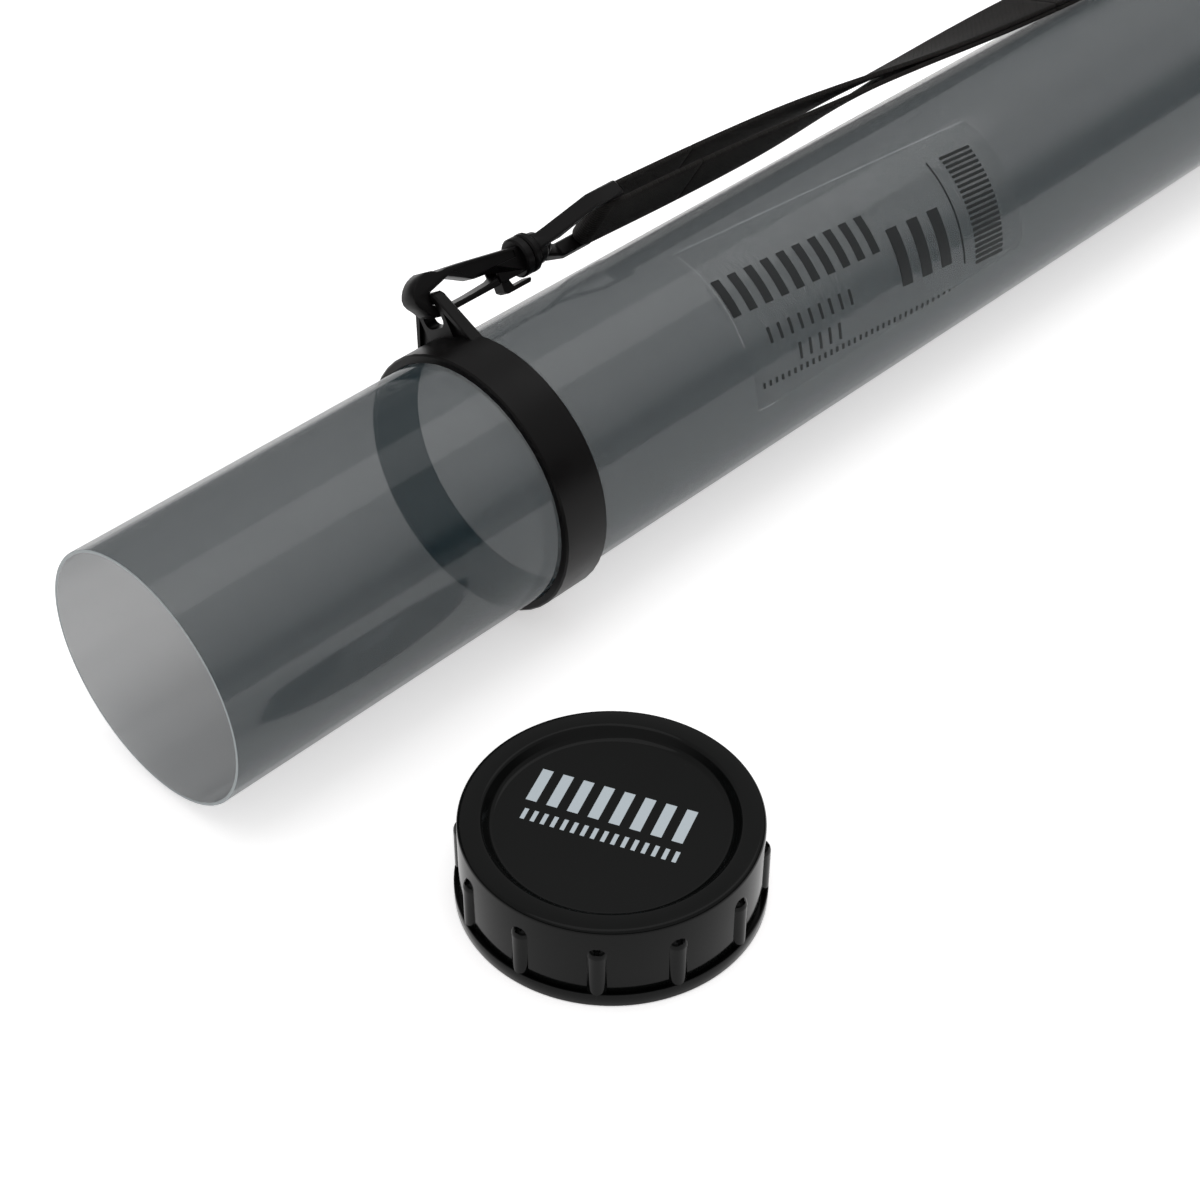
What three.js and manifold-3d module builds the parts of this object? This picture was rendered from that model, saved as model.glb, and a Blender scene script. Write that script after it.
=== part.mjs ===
// Clear storage tube for rolled drawings: a smoked tube with two lugged collars, two push-on caps,
// and a webbing shoulder strap held by two swivel snap hooks.
// Millimetres, +Z up. The tube lies along +Y with its open mouth at the low end.

import * as THREE from 'three';
import { mergeVertices } from 'three/addons/utils/BufferGeometryUtils.js';
import Module from 'manifold-3d';

const wasm = await Module();
wasm.setup();

// Tube
const tubeLength = 940;
const tubeRadius = 36;
const tubeWall = 1;
const roundSides = 48;

// Fits
const seatClearance = 0.3;
const runningClearance = 0.3;

// Rings that the tube lies on: both collars and both cap flanges are this thick past the seat
const ringWall = 2.3;

// Collar
const collarInset = 108.8;
const collarWidth = 15.2;
const collarChamfer = 0.5;

// Lug on the collar
const lugAngle = 122.5;
const lugThickness = 3.7;
const lugHalfSpan = 22.5;
const lugShoulderHalfWidth = 5.8;
const lugBarDepth = 3.2;
const lugBarRounding = 1.5;
const eyeHalfWidth = 4.3;
const eyeHeight = 6.3;
const eyeRounding = 2.4;
const eyeLip = 1.5;
const lugFlangeWidth = 2.2;
const lugWebThickness = 1.5;
const barLift = 10.5;

// Push-on cap
const capHeight = 24.2;
const capSkirtWall = 0.95;
const capRimWall = 1.4;
const capPanelWall = 1.5;
const capRecessDepth = 3;
const capRecessRadius = 31.4;
const capPanelRadius = 29.4;
const capEdgeRounding = 1.1;
const flangeHeight = 3.8;
const flangeLipWidth = 0.6;
const flangeGrooveDepth = 1.2;
const ribCount = 12;
const ribRadius = 2.25;
const ribTop = 18.6;
const ribPitRadius = 0.75;
const ribPhase = 9;
const looseCapX = 104.7;
const looseCapY = 57.2;

// Snap hook, seen from its flat side: u runs from the bow to the loop, v away from the tube
const hookWidth = 6.5;
const bowThickness = 3;
const edgeRounding = 0.5;
const noseLength = 3.7;
const noseTipThickness = 1.3;
const slotLength = 6.5;
const kneeLength = 14;
const kneeHeight = 2.6;
const shankThickness = 2.3;
const channelMargin = 0.7;
const shankTop = 2.1;
const hookLength = 31;
const cheekStart = 21.5;
const cheekWidth = 0.9;
const pinSetback = 2;
const pinRadius = 0.8;
const knuckleRadius = 1.6;
const gateThickness = 1.5;
const tabThickness = 1.2;
const swivelDrop = 1.3;
const swivelDiscRadius = 5.75;
const swivelDiscThickness = 3;
const studRadius = 1.8;
const studHeadRadius = 3.2;
const studHeadLength = 2.2;

// Swivel loop that carries the webbing
const hubRadius = 4.8;
const hubLength = 6.8;
const hubFlangeThickness = 2.4;
const loopReach = 25;
const loopShoulder = 13;
const armWidth = 2.8;
const loopThickness = 4.6;
const crossbarWidth = 3;
const crossbarThickness = 3;
const crossbarInset = 2;
const loopTurn = 60;

// Webbing strap
const webWidth = 20;
const webThickness = 1.4;
const webSideClearance = 0.6;
const layerGap = 0.3;
const restTurn = 11.6;
const restAngle = 120.768541684;
const restLift = 4.268101520;
const twistStart = 6;
const twistLength = 235;
const tautLength = 215;
const sewnLength = 28;
const sewnSpacing = 1.1;

// Strap slide
const slidePlace = 482;
const slideThickness = 2.4;
const slideBar = 3;
const slideSlot = 4.6;
const slideRim = 3;
const slideLift = 1.5;

// Clear film label
const labelStart = 187;
const labelLength = 122;
const labelLowAngle = 3;
const labelHighAngle = 92;
const labelGap = 0.1;
const labelThickness = 0.2;

// Derived sizes
const tubeInnerRadius = tubeRadius - tubeWall;
const seatRadius = tubeRadius + seatClearance;
const ringRadius = seatRadius + ringWall;
const axisHeight = ringRadius;
const barCircle = Math.hypot(lugBarDepth / 2 - lugBarRounding, lugThickness / 2 - lugBarRounding) + lugBarRounding;
const slotHalf = barCircle + runningClearance;
const bowRadius = slotHalf + bowThickness;
const barRadius = ringRadius + barLift;
const eyeTop = barRadius - lugBarDepth / 2;
const lugPlane = collarInset + collarWidth - lugThickness / 2;
const hubStart = hookLength - 0.25 + swivelDiscThickness + runningClearance;
const hubEnd = hubStart + hubLength;
const loopEnd = hubEnd + loopReach;
const crossbarPlace = loopEnd - crossbarInset - crossbarWidth / 2;
const slotHalfWidth = webWidth / 2 + webSideClearance;
const loopHalfWidth = slotHalfWidth + armWidth;
const layerHalf = (webThickness + layerGap) / 2;
const barLayerHalf = crossbarThickness / 2 + seatClearance + webThickness / 2;
const barTurnRadius = barLayerHalf;

const radians = THREE.MathUtils.degToRad;
const clamp = THREE.MathUtils.clamp;

const blackPlastic = new THREE.MeshStandardMaterial({ color: 0x141314, roughness: 0.35, metalness: 0 });
const glossBlack = new THREE.MeshStandardMaterial({ color: 0x0d0d0e, roughness: 0.15, metalness: 0 });
const smokedClear = new THREE.MeshStandardMaterial({ color: 0x8b9396, roughness: 0.08, metalness: 0 });
const blackWebbing = new THREE.MeshStandardMaterial({ color: 0x1c1a19, roughness: 0.9, metalness: 0 });
const clearFilm = new THREE.MeshStandardMaterial({ color: 0xaab0b2, roughness: 0.2, metalness: 0 });

// A closed solid from a surface, with its shared corners joined.
function toSolid(geometry) {
  const bare = geometry.clone();
  bare.deleteAttribute('normal');
  bare.deleteAttribute('uv');
  const merged = mergeVertices(bare, 1e-4);
  const corners = merged.index.array;
  const kept = [];
  for (let i = 0; i < corners.length; i += 3) {
    const [a, b, c] = [corners[i], corners[i + 1], corners[i + 2]];
    if (a !== b && b !== c && c !== a) {
      kept.push(a, b, c);
    }
  }
  const mesh = new wasm.Mesh({
    numProp: 3,
    vertProperties: new Float32Array(merged.attributes.position.array),
    triVerts: new Uint32Array(kept),
  });
  return new wasm.Manifold(mesh);
}

function toGeometry(solid) {
  const mesh = solid.getMesh();
  const geometry = new THREE.BufferGeometry();
  geometry.setAttribute('position', new THREE.BufferAttribute(mesh.vertProperties, 3));
  geometry.setIndex(new THREE.BufferAttribute(mesh.triVerts, 1));
  const faceted = geometry.toNonIndexed();
  faceted.computeVertexNormals();
  return faceted;
}

function union(pieces) {
  return pieces.reduce((whole, piece) => whole.add(piece));
}

// A profile of [radius, height] pairs turned about the Y axis.
function turned(profile, sides = roundSides) {
  const points = profile.map(([radius, height]) => new THREE.Vector2(radius, height));
  return new THREE.LatheGeometry(points, sides);
}

// The same outline as points, without any that coincide where an arc meets its neighbour.
function distinct(path, curveSegments) {
  const points = path.getPoints(curveSegments);
  return points.filter((point, i) => point.distanceTo(points[(i + 1) % points.length]) > 1e-6);
}

// A shape in XY given a width along Z, centred, with its edges eased.
function slab(shape, width, easing = 0, curveSegments = 8, bevelSegments = 1) {
  const clean = new THREE.Shape(distinct(shape, curveSegments));
  clean.holes = shape.holes.map((hole) => new THREE.Path(distinct(hole, curveSegments)));
  const geometry = new THREE.ExtrudeGeometry(clean, {
    depth: width - 2 * easing,
    bevelEnabled: easing > 0,
    bevelThickness: easing,
    bevelSize: easing,
    bevelOffset: -easing,
    bevelSegments,
  });
  return geometry.translate(0, 0, -width / 2 + easing);
}

function outline(corners) {
  return new THREE.Shape(corners.map(([x, y]) => new THREE.Vector2(x, y)));
}

function roundedRectangle(x, y, halfWidth, halfHeight, radius) {
  const shape = new THREE.Shape();
  shape.moveTo(x + halfWidth, y - halfHeight + radius);
  shape.absarc(x + halfWidth - radius, y + halfHeight - radius, radius, 0, Math.PI / 2);
  shape.absarc(x - halfWidth + radius, y + halfHeight - radius, radius, Math.PI / 2, Math.PI);
  shape.absarc(x - halfWidth + radius, y - halfHeight + radius, radius, Math.PI, Math.PI * 1.5);
  shape.absarc(x + halfWidth - radius, y - halfHeight + radius, radius, Math.PI * 1.5, Math.PI * 2);
  return shape;
}

// Axes of a piece beside the tube: u along the tube, v turned up from +X by the angle, and their normal.
function frameAt(origin, angle, towardsMouth) {
  const along = new THREE.Vector3(0, towardsMouth ? -1 : 1, 0);
  const out = new THREE.Vector3(Math.cos(radians(angle)), 0, Math.sin(radians(angle)));
  const across = new THREE.Vector3().crossVectors(along, out);
  return new THREE.Matrix4().makeBasis(along, out, across).setPosition(origin);
}

const model = new THREE.Group();

function place(name, geometry, material, matrix = new THREE.Matrix4()) {
  const mesh = new THREE.Mesh(geometry, material);
  mesh.name = name;
  mesh.applyMatrix4(matrix);
  model.add(mesh);
  return mesh;
}

const axisPlace = new THREE.Matrix4().makeTranslation(0, 0, axisHeight);

// Tube: an extruded wall with eased rims.
function tubeGeometry() {
  const ease = 0.2;
  return turned([
    [tubeInnerRadius, ease],
    [tubeInnerRadius + ease, 0],
    [tubeRadius - ease, 0],
    [tubeRadius, ease],
    [tubeRadius, tubeLength - ease],
    [tubeRadius - ease, tubeLength],
    [tubeInnerRadius + ease, tubeLength],
    [tubeInnerRadius, tubeLength - ease],
    [tubeInnerRadius, ease],
  ]);
}

// Collar: a turned ring and an upright lug with an eye, flanged along its slanted sides.
function collarRing() {
  return toSolid(turned([
    [seatRadius, 0],
    [ringRadius - collarChamfer, 0],
    [ringRadius, collarChamfer],
    [ringRadius, collarWidth - collarChamfer],
    [ringRadius - collarChamfer, collarWidth],
    [seatRadius, collarWidth],
    [seatRadius, 0],
  ]));
}

// The lug is drawn in X across and Y out from the tube axis.
function lugOutline() {
  const footRadius = (seatRadius + ringRadius) / 2;
  const half = radians(lugHalfSpan);
  const top = barRadius + lugBarDepth / 2;
  const shoulder = barRadius - 0.4;
  const shape = new THREE.Shape();
  shape.moveTo(footRadius * Math.sin(half), footRadius * Math.cos(half));
  shape.lineTo(lugShoulderHalfWidth, shoulder);
  shape.quadraticCurveTo(lugShoulderHalfWidth - 0.8, top, lugShoulderHalfWidth - 2.8, top);
  shape.lineTo(-lugShoulderHalfWidth + 2.8, top);
  shape.quadraticCurveTo(-lugShoulderHalfWidth + 0.8, top, -lugShoulderHalfWidth, shoulder);
  shape.lineTo(-footRadius * Math.sin(half), footRadius * Math.cos(half));
  shape.absarc(0, 0, footRadius, Math.PI / 2 + half, Math.PI / 2 - half, true);
  return shape;
}

// One three-sided pocket beside the eye, between the slanted flange and the eye's lip.
function lugPocket(side) {
  const inner = eyeHalfWidth + eyeLip;
  const footHalf = ringRadius * Math.sin(radians(lugHalfSpan));
  const footHeight = ringRadius * Math.cos(radians(lugHalfSpan));
  const slope = (footHalf - lugShoulderHalfWidth) / (barRadius - footHeight);
  const flangeAcross = lugFlangeWidth * Math.hypot(1, slope);
  const edgeAt = (height) => footHalf - flangeAcross - slope * (height - footHeight);
  const peak = footHeight + (footHalf - flangeAcross - inner) / slope;
  const outer = edgeAt(footHeight + 1);
  return outline([
    [side * inner, Math.sqrt(ringRadius ** 2 - inner ** 2)],
    [side * outer, Math.sqrt(ringRadius ** 2 - outer ** 2)],
    [side * inner, peak],
  ]);
}

function lugSolid() {
  const eyeMiddle = eyeTop - eyeHeight / 2;
  let lug = toSolid(slab(lugOutline(), lugThickness, 0.5, 6));
  const pocketDepth = (lugThickness - lugWebThickness) / 2;
  for (const side of [-1, 1]) {
    for (const face of [-1, 1]) {
      const pocket = slab(lugPocket(side), pocketDepth * 2).translate(0, 0, face * lugThickness / 2);
      lug = lug.subtract(toSolid(pocket));
    }
  }
  const eye = roundedRectangle(0, eyeMiddle, eyeHalfWidth, eyeHeight / 2, eyeRounding);
  lug = lug.subtract(toSolid(slab(eye, lugThickness * 2, 0, 4)));
  const bar = roundedRectangle(0, 0, lugThickness / 2, lugBarDepth / 2, lugBarRounding);
  const barBlank = slab(bar, eyeHalfWidth * 2 - 1, 0, 3).rotateY(Math.PI / 2).translate(0, barRadius, 0);
  const barSpace = new THREE.BoxGeometry(eyeHalfWidth * 2 - 1, lugBarDepth + 1, lugThickness * 2);
  const squareBar = toSolid(barSpace.translate(0, barRadius, 0));
  return lug.subtract(squareBar).add(toSolid(barBlank));
}

function collarGeometry(lugAtStart) {
  const lug = lugSolid();
  const lugY = lugAtStart ? lugThickness / 2 : collarWidth - lugThickness / 2;
  const lugPlace = frameAt(new THREE.Vector3(0, lugY, 0), lugAngle, false);
  const swap = new THREE.Matrix4().makeBasis(
    new THREE.Vector3(0, 0, 1),
    new THREE.Vector3(0, 1, 0),
    new THREE.Vector3(-1, 0, 0),
  );
  const lugGeometry = toGeometry(lug).applyMatrix4(swap).applyMatrix4(lugPlace);
  return toGeometry(collarRing().add(toSolid(lugGeometry)));
}

// Cap: a skirt with twelve grip ribs, a grooved flange at its mouth and a dished top that plugs the tube.
function capOuterProfile() {
  const skirt = seatRadius + capSkirtWall;
  const dishFloor = capHeight - capRecessDepth;
  const stepMiddle = (capPanelRadius + capRecessRadius) / 2;
  return [
    [0, 0],
    [ringRadius - 0.3, 0],
    [ringRadius, 0.3],
    [ringRadius, flangeHeight - 0.3],
    [ringRadius - 0.3, flangeHeight],
    [ringRadius - flangeLipWidth, flangeHeight],
    [ringRadius - flangeLipWidth, flangeHeight - flangeGrooveDepth],
    [skirt, flangeHeight - flangeGrooveDepth],
    [skirt, capHeight - capEdgeRounding],
    [skirt - capEdgeRounding * 0.3, capHeight - capEdgeRounding * 0.3],
    [skirt - capEdgeRounding, capHeight],
    [capRecessRadius + 0.3, capHeight],
    [capRecessRadius - 0.2, capHeight - 0.4],
    [stepMiddle, dishFloor + 0.6],
    [capPanelRadius, dishFloor],
    [0, dishFloor],
  ];
}

function capCavityProfile() {
  const panelUnder = capHeight - capRecessDepth - capPanelWall;
  const rimUnder = capHeight - capRimWall;
  return [
    [0, -1],
    [seatRadius + 0.4, -1],
    [seatRadius + 0.4, 0],
    [seatRadius, 0.8],
    [seatRadius, rimUnder],
    [capRecessRadius + capPanelWall, rimUnder],
    [capPanelRadius + capPanelWall, panelUnder],
    [0, panelUnder],
  ];
}

function ribGeometry(angle) {
  const rib = turned([
    [0, 0],
    [ribRadius, 0],
    [ribRadius, ribTop - ribRadius],
    [ribRadius * 0.86, ribTop - ribRadius * 0.5],
    [ribRadius * 0.5, ribTop - ribRadius * 0.13],
    [0, ribTop],
  ], 10);
  const pit = new THREE.SphereGeometry(ribPitRadius, 6, 4).translate(0, ribTop - ribRadius * 0.3, ribRadius * 0.75);
  const pitted = toSolid(rib).subtract(toSolid(pit));
  return toGeometry(pitted).translate(0, 0, ringRadius - ribRadius).rotateY(angle);
}

function capGeometry() {
  const pieces = [toSolid(turned(capOuterProfile()))];
  for (let i = 0; i < ribCount; i += 1) {
    pieces.push(toSolid(ribGeometry(radians(ribPhase + (360 / ribCount) * i))));
  }
  return toGeometry(union(pieces).subtract(toSolid(turned(capCavityProfile()))));
}

// Snap hook body: the bow, the shank, the cheeks that hold the gate's pin, and the swivel stud.
function shankUnderside(u) {
  if (u < kneeLength) {
    return THREE.MathUtils.mapLinear(u, slotLength, kneeLength, slotHalf, kneeHeight - shankThickness);
  }
  return THREE.MathUtils.mapLinear(u, kneeLength, hookLength, kneeHeight - shankThickness, -swivelDrop);
}

const gatePin = new THREE.Vector2(cheekStart + pinSetback, -bowRadius + knuckleRadius);

function hookOutline() {
  const shape = new THREE.Shape();
  shape.moveTo(0, -bowRadius);
  shape.absarc(0, 0, bowRadius, -Math.PI / 2, Math.PI / 2, true);
  shape.bezierCurveTo(4.5, bowRadius, 9, kneeHeight + 1.2, kneeLength, kneeHeight);
  shape.lineTo(hookLength, shankTop);
  shape.lineTo(hookLength, -bowRadius);
  shape.lineTo(cheekStart + 1, -bowRadius);
  shape.quadraticCurveTo(cheekStart, -bowRadius, cheekStart, -bowRadius + 1);
  shape.lineTo(cheekStart, shankUnderside(cheekStart));
  shape.lineTo(kneeLength, shankUnderside(kneeLength));
  shape.lineTo(slotLength, slotHalf);
  shape.absarc(0, 0, slotHalf, Math.PI / 2, Math.PI * 1.5, false);
  shape.lineTo(1.2, -slotHalf);
  shape.quadraticCurveTo(noseLength, -slotHalf, noseLength, -bowRadius + noseTipThickness);
  shape.lineTo(noseLength, -bowRadius);
  return shape;
}

function studSolid() {
  const discStart = hookLength - 0.25;
  const discEnd = discStart + swivelDiscThickness;
  const headStart = hubEnd + runningClearance;
  const ease = 0.5;
  const profile = turned([
    [0, discStart],
    [swivelDiscRadius - ease, discStart],
    [swivelDiscRadius, discStart + ease],
    [swivelDiscRadius, discEnd - ease],
    [swivelDiscRadius - ease, discEnd],
    [studRadius, discEnd],
    [studRadius, headStart],
    [studHeadRadius - 0.3, headStart],
    [studHeadRadius, headStart + 0.4],
    [studHeadRadius * 0.8, headStart + studHeadLength * 0.7],
    [0, headStart + studHeadLength],
  ], 20);
  return toSolid(profile.rotateZ(-Math.PI / 2).translate(0, -swivelDrop, 0));
}

function hookGeometry() {
  let hook = toSolid(slab(hookOutline(), hookWidth, edgeRounding, 8, 2));
  const wellHalf = hookWidth / 2 - cheekWidth;
  const wellTop = gatePin.y + knuckleRadius + 0.4;
  const wellEnd = gatePin.x + knuckleRadius + 0.5;
  const well = outline([
    [cheekStart - 1, -bowRadius - 1],
    [wellEnd, -bowRadius - 1],
    [wellEnd, wellTop],
    [cheekStart - 1, wellTop],
  ]);
  hook = hook.subtract(toSolid(slab(well, wellHalf * 2)));
  const pin = new THREE.CylinderGeometry(pinRadius, pinRadius, hookWidth - cheekWidth, 12);
  hook = hook.add(toSolid(pin.rotateX(Math.PI / 2).translate(gatePin.x, gatePin.y, 0)));
  const channelEnd = hookLength - 1.5;
  const channel = outline([
    [slotLength + 1.5, slotHalf + 0.5],
    [kneeLength, shankUnderside(kneeLength) + channelMargin],
    [channelEnd, shankUnderside(channelEnd) + channelMargin],
    [channelEnd, shankTop - channelMargin],
    [kneeLength, kneeHeight - channelMargin],
  ]);
  for (const side of [-1, 1]) {
    const groove = slab(channel, 1).translate(0, 0, side * hookWidth / 2);
    hook = hook.subtract(toSolid(groove));
  }
  return toGeometry(hook.add(studSolid()));
}

// Gate: a thin sprung bar that closes the bow, pinned at the rear, with a thumb tab behind the pin.
function gateGeometry() {
  const gateStart = noseLength + runningClearance;
  const barEnd = cheekStart - 0.5;
  const under = -bowRadius;
  const over = under + gateThickness;
  const bar = outline([
    [gateStart, under],
    [barEnd, under],
    [barEnd, over + 0.4],
    [gateStart + 8, over],
    [gateStart, over],
  ]);
  const innerHalf = hookWidth / 2 - cheekWidth - runningClearance;
  const tabTop = -swivelDrop - swivelDiscRadius - runningClearance - 0.05;
  const tabUnder = tabTop - tabThickness;
  const tabEnd = hookLength + 1;
  const arm = outline([
    [barEnd - 2, under],
    [gatePin.x - 1.4, under],
    [gatePin.x - 1.6, tabUnder + 1],
    [gatePin.x - 0.4, tabUnder],
    [tabEnd - 0.6, tabUnder],
    [tabEnd, tabUnder + 0.6],
    [tabEnd, tabTop],
    [gatePin.x + 2.2, tabTop],
    [gatePin.x + 1.2, under + 0.6],
    [gatePin.x, gatePin.y],
    [gatePin.x - 0.6, gatePin.y + knuckleRadius - 0.1],
    [barEnd - 2, over + 0.3],
  ]);
  const knuckle = new THREE.CylinderGeometry(knuckleRadius, knuckleRadius, innerHalf * 2, 20);
  const bore = new THREE.CylinderGeometry(pinRadius + runningClearance, pinRadius + runningClearance, hookWidth, 12);
  const gate = union([
    toSolid(slab(bar, hookWidth, 0.3)),
    toSolid(slab(arm, innerHalf * 2)),
    toSolid(knuckle.rotateX(Math.PI / 2).translate(gatePin.x, gatePin.y, 0)),
  ]);
  return toGeometry(gate.subtract(toSolid(bore.rotateX(Math.PI / 2).translate(gatePin.x, gatePin.y, 0))));
}

// Swivel loop: a flanged hub that turns on the stud, two arms that spread, and the bar for the webbing.
function loopGeometry() {
  const ease = 0.5;
  const hub = turned([
    [0, hubStart],
    [swivelDiscRadius - ease, hubStart],
    [swivelDiscRadius, hubStart + ease],
    [swivelDiscRadius, hubStart + hubFlangeThickness - ease],
    [swivelDiscRadius - ease, hubStart + hubFlangeThickness],
    [hubRadius - 0.5, hubStart + hubFlangeThickness],
    [hubRadius, hubStart + hubFlangeThickness + 0.8],
    [hubRadius - 0.2, hubEnd - 1.6],
    [hubRadius - 1.2, hubEnd - 0.3],
    [hubRadius - 1.8, hubEnd],
    [0, hubEnd],
  ], 20);
  const shoulder = hubEnd + loopShoulder;
  const headRoom = studHeadRadius + 0.8;
  const half = [
    [hubEnd - 4, hubRadius - 0.6],
    [hubEnd, hubRadius + 1.2],
    [shoulder, loopHalfWidth],
    [loopEnd - 1, loopHalfWidth],
    [loopEnd, loopHalfWidth - 1],
    [loopEnd, slotHalfWidth],
    [shoulder - 0.4, slotHalfWidth],
    [hubEnd + 3.5, headRoom + 0.2],
    [hubEnd, headRoom],
  ];
  const mirrored = half.map(([u, v]) => [u, -v]).reverse();
  const fork = toSolid(slab(outline([...half, ...mirrored]), loopThickness, 0.5));
  const barShape = roundedRectangle(crossbarPlace, 0, crossbarWidth / 2, crossbarThickness / 2, 1.2);
  const crossbar = toSolid(slab(barShape, slotHalfWidth * 2 + 2, 0, 4).rotateX(Math.PI / 2));
  const bore = new THREE.CylinderGeometry(studRadius + runningClearance, studRadius + runningClearance, hubLength * 2, 20);
  const bored = union([toSolid(hub.rotateZ(-Math.PI / 2)), fork, crossbar]);
  return toGeometry(bored.subtract(toSolid(bore.rotateZ(Math.PI / 2).translate(hubStart + hubLength / 2, 0, 0))));
}

// The strap's own frame at a distance along the tube: it stands on edge at the hooks and lies on the tube between.
const lugDirection = new THREE.Vector2(Math.cos(radians(lugAngle)), Math.sin(radians(lugAngle)));
const swivelAxis = lugDirection.clone().multiplyScalar(barRadius - swivelDrop);
const restDirection = new THREE.Vector2(Math.cos(radians(restAngle)), Math.sin(radians(restAngle)));
const restPoint = restDirection.multiplyScalar(tubeRadius + restLift);
const crossbarY = lugPlane + crossbarPlace;

function strapFrame(y) {
  const fromEnd = Math.min(y, tubeLength - y) - crossbarY;
  const twist = THREE.MathUtils.smootherstep(fromEnd, twistStart, twistStart + twistLength);
  const angle = radians(THREE.MathUtils.lerp(loopTurn, restTurn, twist));
  const along = clamp(fromEnd / tautLength, 0, 1);
  const centre = swivelAxis.clone().lerp(restPoint, along);
  const width = new THREE.Vector2(Math.cos(angle), Math.sin(angle));
  const normal = new THREE.Vector2(Math.sin(angle), -Math.cos(angle));
  return { centre, width, normal };
}

function strapPoint(y, offset, across) {
  const { centre, width, normal } = strapFrame(y);
  const x = centre.x + normal.x * offset + width.x * across;
  const z = centre.y + normal.y * offset + width.y * across;
  return new THREE.Vector3(x, y, z + axisHeight);
}

// A webbing strip of even thickness bent along a route of [distance along the tube, offset] stations.
function webStrip(route) {
  const count = route.length - 1;
  const strip = new THREE.BoxGeometry(count, webWidth, webThickness, count, 2, 1);
  const position = strip.attributes.position;
  for (let i = 0; i < position.count; i += 1) {
    const station = Math.round(position.getX(i) + count / 2);
    const before = new THREE.Vector2(...route[Math.max(station - 1, 0)]);
    const here = new THREE.Vector2(...route[station]);
    const after = new THREE.Vector2(...route[Math.min(station + 1, count)]);
    const ahead = after.clone().sub(here).normalize();
    const behind = here.clone().sub(before).normalize();
    const direction = ahead.clone().add(behind).normalize();
    const side = new THREE.Vector2(-direction.y, direction.x);
    const bend = Math.max(Math.abs(direction.dot(station === count ? behind : ahead)), 0.7);
    here.addScaledVector(side, position.getZ(i) / bend);
    const point = strapPoint(here.x, here.y, position.getY(i));
    position.setXYZ(i, point.x, point.y, point.z);
  }
  return toSolid(strip);
}

function span(from, to, step, offsetAt) {
  const count = Math.max(1, Math.round(Math.abs(to - from) / step));
  const stations = [];
  for (let i = 0; i <= count; i += 1) {
    const y = THREE.MathUtils.lerp(from, to, i / count);
    stations.push([y, offsetAt(y)]);
  }
  return stations;
}

function turn(y, offset, radius, startAngle, endAngle, steps) {
  const stations = [];
  for (let i = 0; i <= steps; i += 1) {
    const angle = radians(THREE.MathUtils.lerp(startAngle, endAngle, i / steps));
    stations.push([y + radius * Math.cos(angle), offset + radius * Math.sin(angle)]);
  }
  return stations;
}

// How far the two layers stand apart, from the crossbar to where they lie together.
function layerOffset(y) {
  const closing = THREE.MathUtils.smoothstep(y - crossbarY, 65, 150);
  return THREE.MathUtils.lerp(barLayerHalf, layerHalf, closing);
}

function slideRise(y) {
  const near = THREE.MathUtils.smoothstep(y, slidePlace - 62, slidePlace - 40);
  const far = 1 - THREE.MathUtils.smoothstep(y, slidePlace + 20, slidePlace + 45);
  return slideLift * Math.min(near, far);
}

const slideCentre = -layerHalf - webThickness / 2 - seatClearance - slideThickness / 2;
const slotMiddle = slideBar / 2 + slideSlot / 2;
const slideHalfLength = slideBar * 1.5 + slideSlot;

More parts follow.
